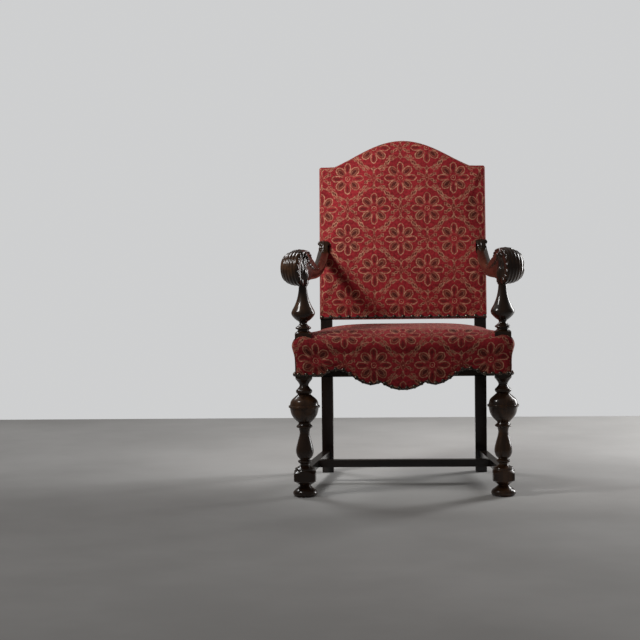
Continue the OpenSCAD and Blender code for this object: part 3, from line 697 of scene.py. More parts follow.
@dataclass(frozen=True)
class CutVelvet:
    """Crimson moquette with half-drop rows of eight-petalled flowers and scrolling knots.

    Lengths are in millimetres of cloth. The pattern reads the piece's own UV map, whose
    values are metres along the cloth.
    """

    repeat_x: float = 168.0
    repeat_y: float = 197.0
    line: float = 1.5
    ground: Triple = (0.41, 0.025, 0.034)
    ground_deep: Triple = (0.150, 0.0080, 0.0110)
    shade: Triple = (0.075, 0.0095, 0.0085)
    olive: Triple = (0.160, 0.050, 0.028)
    gold: Triple = (0.66, 0.33, 0.210)
    gold_dull: Triple = (0.33, 0.110, 0.065)
    rib: float = 1.25
    unevenness: float = 6.5

    def lens(self, along: Signal, across: Signal, half_long: float, half_wide: float) -> Signal:
        """Distance from a pointed oval that lies along its first value.

        Args:
            along: distance from the oval's middle along it.
            across: distance across it, not negative.
            half_long: half of its length.
            half_wide: half of its width.

        Returns:
            The distance, negative inside.
        """
        radius = (half_long**2 + half_wide**2) / (2 * half_wide)
        return reach(along, across + (radius - half_wide)) - radius

    def nearest(self, u: Signal, v: Signal, shift: float) -> tuple[Signal, Signal]:
        """The place of a point in its half-drop cell.

        Args:
            u: across the cloth.
            v: along the cloth.
            shift: how far the cells' middles lie across from the flowers'.

        Returns:
            The offsets across and along from the nearest middle.
        """
        half_x, half_y = self.repeat_x / 2, self.repeat_y / 2
        x1, y1 = (u - shift).wrapped(half_x), v.wrapped(half_y)
        x2, y2 = (u - shift - half_x).wrapped(half_x), (v - half_y).wrapped(half_y)
        first = reach(x1, y1).below(reach(x2, y2))
        return x2 + first * (x1 - x2), y2 + first * (y1 - y2)

    def stroke(self, distance: Signal, half: float) -> Signal:
        """1 on a drawn line and 0 away from it."""
        return 1.0 - abs(distance).fade(half - 0.55, half + 0.55)

    def flowers(self, u: Signal, v: Signal) -> tuple[Signal, Signal, Signal]:
        """Draws the flowers, each of four straight and four slanting petals round a ring.

        Args:
            u: across the cloth.
            v: along the cloth.

        Returns:
            Masks of the lines, of the dark hearts of the petals and of the olive bands.
        """
        x, y = self.nearest(u, v, 0.0)
        away = reach(x, y)
        x, y = abs(x), abs(y)
        far, near = x.most(y), x.least(y)
        slant_far, slant_near = (far + near) * DIAGONAL, (far - near) * DIAGONAL
        tip = far - 37.0
        straight = self.lens(tip.most(tip * 0.55), near, 13.5, 9.4)
        tip = slant_far - 34.0
        slanting = self.lens(tip.most(tip * 0.62), slant_near, 14.0, 11.6)
        outside = straight.fade(-0.4, 0.4)
        lines = self.stroke(straight, self.line) * far.fade(13.0, 27.0)
        lines = lines.most(self.stroke(slanting, self.line) * outside * slant_far.fade(11.0, 24.0))
        rib = self.stroke(slant_near, 0.5) * (1.0 - slant_far.fade(16.0, 20.0))
        lines = lines.most(rib * slant_far.fade(9.0, 11.0) * 0.6)
        lines = lines.most(self.stroke(away - 7.2, 1.1)).most(1.0 - away.fade(1.2, 2.8))
        heart = self.lens(slant_far - 29.0, slant_near, 12.5, 5.4)
        drop = self.lens(far - 34.0, near, 12.0, 3.8)
        hearts = (1.0 - heart.fade(-0.8, 0.8)) * outside
        hearts = hearts.most((1.0 - drop.fade(-0.8, 0.8)) * 0.75)
        band = (1.0 - slanting.fade(-3.4, 1.6)) * outside * slant_far.fade(14.0, 26.0)
        band = band.most((1.0 - straight.fade(-1.8, 1.2)) * far.fade(26.0, 38.0) * 0.4)
        lines = lines.most(self.stroke(heart, 0.7) * outside * 0.55)
        return lines, hearts, band

    def knots(self, u: Signal, v: Signal) -> tuple[Signal, Signal, Signal]:
        """Draws the knots between the flowers and the garlands that tie them together.

        Args:
            u: across the cloth.
            v: along the cloth.

        Returns:
            Masks of the lines, of the dark diamonds and of the olive leaves.
        """
        x, y = self.nearest(u, v, self.repeat_x / 2)
        turn_x, turn_y = abs(x), abs(y)
        loop = self.lens(turn_y, turn_x, 15.0, 6.5)
        horn = reach(turn_x - 17.0, turn_y - 17.5) - 16.0
        horn_part = (turn_y - 17.0).fade(-1.0, 1.0) * (1.0 - turn_x.fade(15.0, 19.0))
        curl = reach(turn_x - 19.5, turn_y - 33.0) - 3.6
        leaf_x = (turn_x - 16.0) * 0.87 + (turn_y - 7.5) * 0.5
        leaf_y = (turn_y - 7.5) * 0.87 - (turn_x - 16.0) * 0.5
        leaf = self.lens(leaf_x, abs(leaf_y), 8.5, 3.6)
        diamond = (turn_x * 1.15 + abs(turn_y - 18.5)) - 3.8
        lines = (self.stroke(loop, 0.9) * 0.55).most(self.stroke(horn, 1.1) * horn_part)
        lines = lines.most(self.stroke(curl, 0.9) * 0.8).most(self.stroke(leaf, 0.9) * 0.8)
        lines = lines.most(self.stroke(diamond, 0.9) * 0.8)
        lines = lines.most((1.0 - reach(turn_x, turn_y).fade(1.0, 2.4)) * 0.9)
        along = turn_x * 0.643 + turn_y * 0.766 - 64.6
        across = turn_y * 0.643 - turn_x * 0.766
        wave = across - (along * 0.16).maths("SINE") * 3.4
        part = 1.0 - abs(along).fade(31.0, 36.0)
        lines = lines.most(self.stroke(wave, 0.9) * part * 0.8)
        tie = self.lens(along, abs(across - 0.5), 13.0, 4.6)
        bud = self.lens(abs(along) - 21.0, abs(abs(across) - 5.5), 7.0, 3.2)
        sprig = self.lens(along.wrapped(5.2), abs(abs(wave) - 5.4), 4.4, 2.3)
        sprigs = (1.0 - sprig.fade(-1.0, 0.8)) * part
        rosette_y = abs(turn_y - 30.5)
        rosette = self.lens(turn_x.most(rosette_y), turn_x.least(rosette_y), 7.6, 2.6)
        side_x, side_y = abs(turn_x - 25.0), abs(turn_y - 13.0)
        side = self.lens((side_x + side_y) * DIAGONAL, abs(side_x - side_y) * DIAGONAL, 6.2, 2.8)
        lines = lines.most(self.stroke(tie, 1.1)).most(self.stroke(bud, 0.9) * 0.8)
        lines = lines.most(sprigs * 0.6).most(self.stroke(rosette, 0.8) * 0.9)
        lines = lines.most(self.stroke(side, 0.8) * 0.8)
        hearts = (1.0 - diamond.fade(-1.2, 0.6)).most(
            1.0 - self.lens(along, abs(across - 0.5), 8.0, 2.0).fade(-0.5, 0.5))
        olive = 1.0 - leaf.least(tie).least(bud).least(rosette).least(side).fade(-0.8, 0.6)
        return lines, hearts, olive.most((1.0 - loop.fade(-1.0, 0.6)) * 0.6)

    def build(self) -> Material:
        """Makes the material.

        Returns:
            The material.
        """
        tree = Tree("cut_velvet")
        cloth = tree.cloth_place()
        u, v = (part * 1000.0 for part in tree.parts(cloth)[:2])
        wobble = tree.node("TexNoise", inputs={"Vector": cloth, "Scale": 150.0, "Detail": 3.0,
                                               "Roughness": 0.6})
        shake_u, shake_v, _ = tree.parts(Signal(tree, wobble.outputs["Color"]))
        u_drawn = u + (shake_u - 0.5) * self.unevenness
        v_drawn = v + (shake_v - 0.5) * self.unevenness
        lines, hearts, bands = self.flowers(u_drawn, v_drawn)
        knot_lines, knot_hearts, leaves = self.knots(u_drawn, v_drawn)
        place = tree.object_place()
        crushed = tree.noise(place, 9.0, 4.0, 0.6)
        mottle = tree.noise(cloth, 130.0, 4.0, 0.7)
        patch = tree.noise(cloth, 42.0, 2.0, 0.5)
        speck = tree.noise(cloth, 850.0, 2.0, 0.7)
        lines = lines.most(knot_lines)
        hearts = hearts.most(knot_hearts)
        ground = tree.blend((mottle * 0.9 + crushed * 0.4).fade(0.42, 0.86), self.ground_deep,
                            self.ground)
        colour = tree.blend(bands.most(leaves) * (0.35 + patch.fade(0.35, 0.65) * 0.5), ground,
                            self.olive)
        colour = tree.blend(hearts * 0.78, colour, self.shade)
        thread = tree.blend((mottle * 0.6 + patch * 0.5).fade(0.36, 0.72), self.gold_dull,
                            self.gold)
        colour = tree.blend(lines * (0.42 + mottle.fade(0.32, 0.58) * 0.5), colour, thread)
        rows, wales = v.waves(self.rib), u.waves(self.rib * 0.8)
        colour = tree.blend(speck.fade(0.50, 0.75) * 0.4, colour, self.ground_deep)
        pile = (1.0 - lines) * 0.55 + rows * 0.10 + wales * 0.10 + speck * 0.35 + mottle * 0.3
        normal = tree.relief(pile, 0.0012, 0.8)
        tree.feed(tree.shader.inputs["Sheen Tint"], (1.0, 0.62, 0.58, 1.0))
        return tree.finish(colour, 0.78 + speck * 0.15, normal,
                           {"Sheen Weight": 0.20, "Sheen Roughness": 0.36,
                            "Specular IOR Level": 0.2})


@dataclass(frozen=True)
class WovenCloth:
    """A plain woven cloth, such as calico, jute or thin black cotton."""

    name: str
    light: Triple
    dark: Triple
    pitch: float
    relief_depth: float

    def build(self) -> Material:
        """Makes the material from two crossed sets of threads on object coordinates.

        Returns:
            The material.
        """
        tree = Tree(self.name)
        x, y, z = tree.parts(tree.object_place())
        warp, weft = (x + z * 0.3).waves(self.pitch), (y + z * 0.95).waves(self.pitch)
        slub = tree.noise(tree.object_place((1.0, 0.15, 0.15)), 260.0, 3.0)
        weave = warp * weft * 0.7 + slub * 0.4
        colour = tree.blend(weave.fade(0.1, 0.8), self.dark, self.light)
        normal = tree.relief(weave, self.relief_depth, 0.7)
        return tree.finish(colour, 0.85 + slub * 0.1, normal,
                           {"Sheen Weight": 0.15, "Sheen Roughness": 0.5,
                            "Specular IOR Level": 0.2})


@dataclass(frozen=True)
class DarkBraid:
    """Gimp of twisted dark brown cord, a little glossy where it is rubbed."""

    deep: Triple = (0.010, 0.006, 0.005)
    brown: Triple = (0.055, 0.026, 0.017)
    thread_pitch: float = 1.1 * MM

    def build(self) -> Material:
        """Makes the material; its threads run slantwise over the strip's own UV map.

        Returns:
            The material.
        """
        tree = Tree("dark_braid")
        cloth = tree.cloth_place()
        u, v, _ = tree.parts(cloth)
        threads = (u + v).waves(self.thread_pitch)
        fuzz = tree.noise(cloth, 900.0, 3.0, 0.7)
        tone = threads * 0.5 + fuzz * 0.5
        colour = tree.blend(tone.fade(0.25, 0.8), self.deep, self.brown)
        normal = tree.relief(tone, 0.0004, 0.8)
        return tree.finish(colour, 0.5 + fuzz * 0.3, normal,
                           {"Sheen Weight": 0.2, "Specular IOR Level": 0.4})


@dataclass(frozen=True)
class AgedBronze:
    """Nail heads with a dark patina, rubbed bright on their crowns."""

    patina: Triple = (0.016, 0.0130, 0.0110)
    metal: Triple = (0.190, 0.150, 0.115)

    def build(self) -> Material:
        """Makes the material.

        Returns:
            The material.
        """
        tree = Tree("aged_bronze")
        place = tree.object_place()
        cloud = tree.noise(place, 210.0, 3.0, 0.6)
        pits = tree.noise(place, 900.0, 2.0, 0.6)
        rubbed = (cloud.fade(0.40, 0.66) + tree.worn_edge(0.0009) * 0.3).least(1.0)
        colour = tree.blend(rubbed, self.patina, self.metal)
        tree.feed(tree.shader.inputs["Metallic"], 0.55 + rubbed * 0.4)
        normal = tree.relief(pits * 0.6 + cloud * 0.4, 0.0002, 0.5)
        return tree.finish(colour, 0.30 - rubbed * 0.08 + pits * 0.1, normal,
                           {"Specular IOR Level": 0.6})


@dataclass(frozen=True)
class DrawnSteel:
    """Spring wire and screws of plain steel with a little rust."""

    bright: Triple = (0.42, 0.42, 0.43)
    rust: Triple = (0.16, 0.07, 0.035)

    def build(self) -> Material:
        """Makes the material.

        Returns:
            The material.
        """
        tree = Tree("drawn_steel")
        cloud = tree.noise(tree.object_place(), 140.0, 4.0, 0.6)
        spots = cloud.fade(0.55, 0.7)
        colour = tree.blend(spots, self.bright, self.rust)
        tree.feed(tree.shader.inputs["Metallic"], 0.95 - spots * 0.6)
        normal = tree.relief(cloud, 0.0002, 0.4)
        return tree.finish(colour, 0.32 + spots * 0.4, normal, {"Specular IOR Level": 0.5})


@dataclass(frozen=True)
class PaleFloor:
    """A plain pale floor of smooth, faintly clouded screed."""

    light: Triple = (0.60, 0.595, 0.585)
    shade: Triple = (0.50, 0.495, 0.485)

    def build(self) -> Material:
        """Makes the material.

        Returns:
            The material.
        """
        tree = Tree("pale_floor")
        place = tree.object_place()
        cloud = tree.noise(place, 1.3, 4.0, 0.6)
        grit = tree.noise(place, 160.0, 3.0, 0.6)
        colour = tree.blend(cloud.fade(0.3, 0.7), self.shade, self.light)
        normal = tree.relief(grit, 0.0004, 0.3)
        return tree.finish(colour, 0.62 + grit * 0.15, normal, {"Specular IOR Level": 0.3})


# The chair's own sizes, read from the frame


def smooth_rows(rows: tuple[tuple[float, ...], ...], steps: int) -> Array:
    """A smooth curve through rows of points.

    Args:
        rows: the points that the curve passes.
        steps: the number of pieces between two points.

    Returns:
        The curve's points.
    """
    points = np.array(rows)
    padded = np.vstack([points[:1], points, points[-1:]])
    out = []
    for i in range(len(points) - 1):
        a, b, c, d = padded[i:i + 4]
        for t in np.arange(steps) / steps:
            out.append(0.5 * (2 * b + (c - a) * t + (2 * a - 5 * b + 4 * c - d) * t**2
                              + (3 * b - a - 3 * c + d) * t**3))
    return np.array([*out, points[-1]])


def distances(line: Array) -> Array:
    """How far each point of a line lies along it."""
    return np.append(0, np.cumsum(np.linalg.norm(np.diff(line, axis=0), axis=1)))


def corner_bend(share: Array) -> Array:
    """How far a rounded corner draws in, in radii, at a share of the way into it."""
    return 1 - np.sqrt(1 - share**2 / 2)


@dataclass
class ChairPlan:
    """Places that the upholstery is fitted to, taken from the frame's nodes."""

    rake: float = math.radians(8.5)
    cloth: float = 2.0 * MM
    lobe_drop: float = 41.0 * MM
    cusp_drop: float = 19.0 * MM
    lobe_half: float = 64.0 * MM
    post_half: float = 23.5 * MM
    rake_rise: float = 32.0 * MM
    back_room: float = 0.5 * MM
    apron_steps: tuple[Pair, ...] = (
        (64.0, -19.0), (78.0, -24.0), (95.0, -26.0), (120.0, -18.5), (147.0, -1.0),
        (170.0, 13.0), (190.0, 16.0), (212.0, 12.0), (228.0, 2.5), (240.0, 0.0))

    def __post_init__(self) -> None:
        """Reads the boxes of the frame's nodes."""
        rail_low, rail_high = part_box("front_rail")
        rear_low, rear_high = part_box("rear_leg_right")
        _, cover_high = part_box("seat_cover")
        _, back_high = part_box("outside_back_cover")
        post_low, post_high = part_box("front_leg_right")
        self.rail_z = rail_low.z
        self.rail_top = rail_high.z
        self.stile_y = rear_low.y
        self.stile_in, self.stile_out = rear_low.x, rear_high.x
        self.rake_z = self.rail_top + self.rake_rise
        self.crown_z = cover_high.z
        self.post_x = (post_low.x + post_high.x) / 2
        self.back_half = back_high.x + self.back_room
        self.apron = smooth_rows(self.apron_steps, 4) * MM

    def apron_drop(self, x: Array) -> Array:
        """How far the seat's lower edge lies from the rails' underside at each x.

        Args:
            x: places across the chair.

        Returns:
            Heights, negative where the edge hangs lower.
        """
        away = np.abs(x)
        lobe = -self.lobe_drop + (self.lobe_drop - self.cusp_drop) * (
            np.clip(away / self.lobe_half, 0, 1) ** 2.2)
        steps = np.interp(away, self.apron[:, 0], self.apron[:, 1])
        return np.where(away < self.lobe_half, lobe, steps)

    def back_point(self, x: Array, w: Array, v: Array) -> Array:
        """Turns places in the slope of the back into the frame.

        Args:
            x: across the chair.
            w: towards the rear, square to the slope.
            v: up the slope.

        Returns:
            The points as rows.
        """
        c, s = math.cos(self.rake), math.sin(self.rake)
        return np.stack([x, self.stile_y + v * s + w * c, self.rake_z + v * c - w * s], axis=1)

    def back_matrix(self) -> Matrix:
        """The matrix that brings back-slope places (x, w, v) into the frame."""
        return Matrix.Translation((0, self.stile_y, self.rake_z)) @ Matrix.Rotation(
            -self.rake, 4, "X")


# Upholstery


@dataclass
class Stuffing:
    """How a padded cover is blown up by its stuffing."""

    pressure: float = 4.0
    frames: int = 20
    cap: float = 6.0 * MM
    stiffness: float = 15.0

    def swell(self, obj: Piece, held: Array) -> None:
        """Runs the cloth simulation on a cover and keeps its shape.

        Args:
            obj: the cover, one skin of quads.
            held: for each vertex, 1 where it is nailed fast and 0 where it is free.
        """
        start = places(obj)
        group = obj.vertex_groups.new(name="nailed")
        for i in np.flatnonzero(held > 0):
            group.add([int(i)], float(held[i]), "REPLACE")
        pick(obj)
        modifier = obj.modifiers.new("Cloth", "CLOTH")
        cloth = modifier.settings
        cloth.quality = 6
        cloth.mass = 0.35
        cloth.tension_stiffness = self.stiffness
        cloth.compression_stiffness = self.stiffness
        cloth.shear_stiffness = self.stiffness
        cloth.bending_stiffness = 0.6
        cloth.use_pressure = True
        cloth.uniform_pressure_force = self.pressure
        cloth.vertex_group_mass = group.name
        cloth.pin_stiffness = 1.0
        cloth.effector_weights.gravity = 0.0
        modifier.collision_settings.use_collision = False
        scene = bpy.context.scene
        for frame in range(1, self.frames + 1):
            scene.frame_set(frame)
        settled = places(obj.evaluated_get(bpy.context.evaluated_depsgraph_get()))
        obj.modifiers.remove(modifier)
        scene.frame_set(1)
        normals = np.empty(settled.size)
        obj.data.vertex_normals.foreach_get("vector", normals)
        normals = normals.reshape(-1, 3)
        swell = np.sum((settled - start) * normals, axis=1)
        move_to(obj, start + normals * np.clip(swell, 0, self.cap)[:, None])
        log.info("%s swelled by %.1f mm at most", obj.name, float(swell.max()) / MM)


def skirted_grid(name: str, across: int, along: int, levels: int) -> Piece:
    """A square sheet from -1 to 1 with its border extruded down, one unit a level.

    Args:
        name: the object's name.
        across: faces along x.
        along: faces along y.
        levels: rows of faces in the skirt.

    Returns:
        The sheet, whose vertex places are the shares that a shape function reads.
    """
    obj = add_sheet(name, across, along)
    with editing(obj, "EDGE"):
        bpy.ops.mesh.select_all(action="DESELECT")
        bpy.ops.mesh.select_non_manifold()
        for _ in range(levels):
            bpy.ops.mesh.extrude_region_move(TRANSFORM_OT_translate={"value": (0, 0, -1)})
        bpy.ops.mesh.select_all(action="SELECT")
        bpy.ops.mesh.normals_make_consistent(inside=False)
    return obj


def corner_vertices(obj: Piece) -> Array:
    """The vertex of each corner of each face, in order.

    Args:
        obj: the object.

    Returns:
        The vertices' numbers.
    """
    corners = np.empty(len(obj.data.loops), dtype=np.int32)
    obj.data.loops.foreach_get("vertex_index", corners)
    return corners


def set_cloth_map(obj: Piece, cloths: list[tuple[Array, Array]],
                  of_face: Array | None = None) -> None:
    """Writes the cloth's own measures, in metres, into a UV map.

    Args:
        obj: the piece, of quads.
        cloths: for each cloth that meets another in a seam or a fold, the distances across and
            along it at every vertex.
        of_face: for each face, the number of its cloth. Without it there is one cloth.
    """
    layer = obj.data.uv_layers.new(name=CLOTH_MAP)
    corners = corner_vertices(obj)
    part = np.zeros(len(corners), dtype=int) if of_face is None else np.repeat(of_face, 4)
    u, v = (np.stack([cloth[i] for cloth in cloths])[part, corners] for i in (0, 1))
    layer.data.foreach_set("uv", np.stack([u, v], axis=1).ravel().astype(np.float32))


def wall_of_face(obj: Piece, shares: Array) -> Array:
    """Which wall of a skirted grid each face is on: 0 top, 1 low end, 2 high end, 3 sides.

    Args:
        obj: the grid.
        shares: its vertices' places before they are shaped.

    Returns:
        A number for each face.
    """
    corners = corner_vertices(obj)
    s, t, level = (shares[corners, i].reshape(-1, 4) for i in range(3))
    wall = level.min(axis=1) < -0.5
    low, high = t.max(axis=1) < -BORDER, t.min(axis=1) > BORDER
    beside = np.abs(s).min(axis=1) > BORDER
    return np.where(wall & low, 1, np.where(wall & high, 2, np.where(wall & beside, 3, 0)))


def thicken(obj: Piece, depth: float) -> None:
    """Gives a skin its cloth's thickness, inward from its outer face."""
    apply_modifier(obj, "SOLIDIFY", thickness=depth, offset=-1.0, use_even_offset=True)


@dataclass
class Pads:
    """The stuffing under the covers, softened and kept clear of the cloth."""

    cell: float = 6.0 * MM
    draw_in: float = 4.0 * MM
    room: float = 5.0 * MM
    most_in: float = 24.0 * MM
    fills: tuple[tuple[str, str, float], ...] = (("seat_pad", "seat_stuffing", 0.9),
                                                 ("back_pad", "back_stuffing", 0.8))

    def keep_inside(self, obj: Piece, skin: BVHTree) -> None:
        """Draws in each part of a pad that comes too near to its cover's skin.

        Args:
            obj: the pad.
            skin: the cover's skin.
        """
        points = places(obj)
        for i, point in enumerate(points):
            place, normal, _, _ = skin.find_nearest(Vector(point))
            over = (Vector(point) - place).dot(normal) + self.room
            if over > 0:
                points[i] = Vector(point) - normal * min(over, self.most_in)
        move_to(obj, points)

    def build(self, calico: Material, skins: tuple[BVHTree, BVHTree]) -> None:
        """Builds the seat's and the back's stuffing from the frame's own pads.

        Args:
            calico: the stuffing's material.
            skins: the skins of the seat's and the back's cover.
        """
        for (node, name, fill), skin in zip(self.fills, skins):
            obj = copy_piece(frame["nodes"][node], name)
            merge_doubles(obj)
            apply_modifier(obj, "REMESH", mode="VOXEL", voxel_size=self.cell)
            apply_modifier(obj, "DISPLACE", strength=-self.draw_in, mid_level=0.0)
            self.keep_inside(obj, skin)
            apply_modifier(obj, "SMOOTH", factor=0.5, iterations=4)
            self.keep_inside(obj, skin)
            smooth_faces(obj)
            dress(obj, calico)
            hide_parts(node)
            log.info("built %s", name)


@dataclass
class SeatUpholstery:
    """The seat's cover over its stuffing, and the line of the cover's lower edge."""

    plan: ChairPlan
    edge_rise: float = 25.0 * MM
    front_lift: float = 6.0 * MM
    post_lift: float = 9.0 * MM
    step: float = 6.0 * MM
    start_in: float = 2.0 * MM
    radius: float = 7.0 * MM
    top_radius: float = 17.0 * MM
    flower_drop: float = 82.0 * MM
    corner_pull: float = 14.0 * MM
    half_repeat: float = 84.0 * MM
    roll_radius: float = 50.0 * MM
    roll_rise: float = 13.0 * MM
    sag: float = 9.0 * MM
    nail_height: float = 3.8 * MM
    braid_depth: float = 1.6 * MM
    proud: float = 2.3 * MM
    post_span: float = 49.3 * MM
    post_reach: float = 22.0 * MM
    forward_reach: float = 120.0 * MM
    side_bulge: float = 8.0 * MM
    scallop_from: float = 22.0 * MM
    scallop_over: float = 42.0 * MM
    pull_from: float = 100.0 * MM
    pull_over: float = 150.0 * MM
    gap: float = 0.4 * MM
    window: float = 200.0 * MM
    window_out: float = 90.0 * MM
    stuffing: Stuffing = field(default_factory=lambda: Stuffing(cap=2.5 * MM))
    # Out from the rails and height over them, from the edge of the crown down to the nails
    side: tuple[Pair, ...] = (
        (0.0, 25.0), (3.4, 22.0), (6.4, 18.2), (8.8, 13.6), (10.0, 9.0), (9.6, 4.5), (8.0, -1.0),
        (5.0, -10.0), (2.0, -22.0), (0.7, -40.0), (0.0, -64.0), (0.0, -78.0))
    levels: int = 22
    held_levels: int = 2

    def __post_init__(self) -> None:
        """Reads the seat's outline from the frame's nodes."""
        front_low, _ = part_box("seat_nails_front")
        _, rear_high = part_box("seat_nails_rear")
        plan = self.plan
        self.front = front_low.y + self.nail_height + self.braid_depth
        self.rear = rear_high.y - self.nail_height
        self.half = plan.post_x + plan.post_half + self.proud
        self.side_start = self.front + self.post_span
        run = (plan.stile_out - plan.post_x - plan.post_half) / (plan.stile_y - self.side_start)
        self.rear_half = (plan.post_x + plan.post_half + run * (self.rear - self.side_start)
                          + self.proud)

    def half_width(self, y: Array) -> Array:
        """Half of the seat's width at each y."""
        share = np.clip((y - self.side_start) / (self.rear - self.side_start), 0, 1)
        return self.half + (self.rear_half - self.half) * share

    def edge_at(self, x: Array, y: Array) -> Array:
        """Height of the edge roll over the rails, which is drawn up in front and at the posts.

        Args:
            x: places across the chair.
            y: places along it.

        Returns:
            The heights.
        """
        middle = (self.front + self.rear) / 2
        forward = np.clip((middle - y) / (middle - self.front), 0, 1)
        by_post = np.exp(-(((np.abs(x) - self.plan.post_x) / self.post_reach) ** 2)) * forward**8
        return self.edge_rise + self.front_lift * forward + self.post_lift * by_post

    def edge_roll(self, x: Array, y: Array) -> Array:
        """Height that the stuffed roll adds to the crown just inside the front and the sides.

        Args:
            x: places across the chair.
            y: places along it.

        Returns:
            The heights.
        """
        away = np.minimum(np.maximum(y - self.front, 0), self.half_width(y) - np.abs(x))
        away = np.maximum(away, 0) / self.roll_radius
        rise = np.sin(np.clip(away, 0, 1) * math.pi / 2)
        fade = np.exp(-((np.maximum(away - 1, 0) / 2.2) ** 2))
        forward = np.exp(-((np.maximum(y - self.front, 0) / self.forward_reach) ** 2))
        return self.roll_rise * rise * fade * (0.25 + 0.75 * forward)

    def shaped(self, shares: Array, inset: float) -> tuple[Array, list[tuple[Array, Array]]]:
        """Places the cover's vertices.

        Args:
            shares: rows of (across, along, minus level) from skirted_grid.
            inset: how far the skin starts inside its final place.

        Returns:
            The points, and the distances across and along the cloth for the top, the front, the
            rear and the sides.
        """
        s, t, level = shares[:, 0], shares[:, 1], -shares[:, 2]
        y = self.front + (t + 1) / 2 * (self.rear - self.front)
        x = s * self.half_width(y)
        profile = smooth_rows(self.side, 6) * MM
        lengths = distances(profile)
        gone = np.clip(level / self.levels, 0, 1) * lengths[-1]
        out = np.interp(gone, lengths, profile[:, 0])
        height = np.interp(gone, lengths, profile[:, 1])
        wide = np.where(height > self.side_bulge, 1.0, np.clip(out / self.side_bulge, 0, 1))
        radius = self.radius + (self.top_radius - self.radius) * wide
        out -= inset
        near = np.clip((np.abs(x) - (self.half_width(y) - radius)) / radius, 0, 1)
        deep = np.clip((self.front + radius - y) / radius, 0, 1)
        x = np.sign(x) * (np.abs(x) - near * radius * corner_bend(deep))
        y = y + deep * radius * corner_bend(near)
        crown = (1 - np.abs(s) ** 3.3) * (1 - np.abs(t) ** 3.0)
        edge = self.edge_at(x, y)
        top = self.plan.crown_z - self.plan.rail_top - self.sag
        z = self.plan.rail_top + edge + (top - edge) * crown + self.edge_roll(x, y) - inset
        height = np.where(height > 0, height * edge / self.edge_rise, height)
        wall = level > 0
        at_front = (t < -BORDER) & wall
        at_rear = (t > BORDER) & wall
        at_side = (np.abs(s) > BORDER) & wall
        weight = np.clip((-self.scallop_from - height) / self.scallop_over, 0, 1)
        scallop = self.plan.apron_drop(x) * weight
        z = np.where(wall, self.plan.rail_top + height, z)
        z = np.where(at_front, z + scallop, z)
        pull = self.corner_pull * (
            np.clip((np.abs(x) - self.pull_from) / self.pull_over, 0, 1) ** 2)
        down = gone - scallop + (edge - self.edge_rise) * np.clip(level / 5, 0, 1)
        along = y - self.front + self.flower_drop - pull
        cloths = [(x, along), (x, self.flower_drop - down - pull), (x, along + gone),
                  (x + np.sign(s) * gone, along)]
        y = np.where(at_front, y - out, y)
        y = np.where(at_rear, y + np.minimum(out, 0), y)
        x = np.where(at_side, x + np.sign(x) * out, x)
        shift = self.half_repeat
        return np.stack([x, y, z], axis=1), [(u + shift, v) for u, v in cloths]

    def edge_line(self) -> Array:
        """The lower edge of the cover from the left rear leg round the front to the right one.

        Returns:
            Rows of x, y, z, and of the way out from the seat, x and y.
        """
        r = self.radius
        y = np.arange(self.plan.stile_y - 1.0 * MM, self.front + r, -2.0 * MM)
        side = np.stack([self.half_width(y), y], axis=1)
        turn = np.linspace(0, 1, 9)
        half = self.half_width(np.array([self.front]))[0]
        bend = corner_bend(turn)
        first = np.stack([half - r * bend, self.front + r * (1 - turn) + turn * r * bend[-1]],
                         axis=1)
        back = turn[::-1]
        middle_bend = 0.293  # corner_bend(1), rounded
        second = np.stack([half - r + back * r * (1 - middle_bend),
                           self.front + r * corner_bend(back)], axis=1)
        x = np.arange(half - r - 1.5 * MM, 0, -1.5 * MM)
        front = np.stack([x, np.full(len(x), self.front)], axis=1)
        right = np.vstack([side, first, second[1:], front])
        line = np.vstack([right * (-1, 1), np.array([[0.0, self.front]]), right[::-1]])
        way = np.gradient(line, axis=0)
        out = np.stack([way[:, 1], -way[:, 0]], axis=1)
        out /= np.maximum(np.linalg.norm(out, axis=1, keepdims=True), 1e-9)
        z = self.plan.rail_z + np.where(line[:, 1] < self.front + 0.2 * r,
                                        self.plan.apron_drop(line[:, 0]), 0.0)
        return np.column_stack([line, z, out])

    def cover(self, velvet: Material) -> Piece:
        """Builds the seat cover.

        Args:
            velvet: the cover's material.

        Returns:
            The cover.
        """
        across = round(2 * self.half / self.step)
        along = round((self.rear - self.front) / self.step)
        obj = skirted_grid("seat_cover_velvet", across, along, self.levels)
        shares = places(obj)
        points, cloths = self.shaped(shares, self.start_in)
        set_cloth_map(obj, cloths, wall_of_face(obj, shares))
        move_to(obj, points)
        rear = shares[:, 1] > BORDER
        low = -shares[:, 2] >= self.levels - self.held_levels
        held = np.where(low | (rear & (shares[:, 2] < -1)), 1.0, 0.0)
        self.stuffing.swell(obj, held)
        self.skin = skin_tree(obj)
        self.make_room(obj)
        thicken(obj, self.plan.cloth)
        smooth_faces(obj, 50)
        dress(obj, velvet)
        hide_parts("seat_cover")
        return obj

    def make_room(self, obj: Piece) -> None:
        """Cuts the cover away round the arm posts and the rear legs.

        Args:
            obj: the cover's skin.
        """
        plan, gap, top = self.plan, self.gap, self.window
        half = plan.post_half + gap
        front = self.side_start - plan.post_half
        for side in Side:
            x = side.value * plan.post_x
            cut_window(obj, Vector((x - half, front - half, plan.rail_top)),
                       Vector((x + half, front + half, plan.rail_top + top)))
            low, high = side.span(plan.stile_in - gap, plan.stile_out + self.window_out)
            cut_window(obj, Vector((low, plan.stile_y - gap, plan.rail_z - top)),
                       Vector((high, plan.stile_y + top, plan.rail_top + top)))


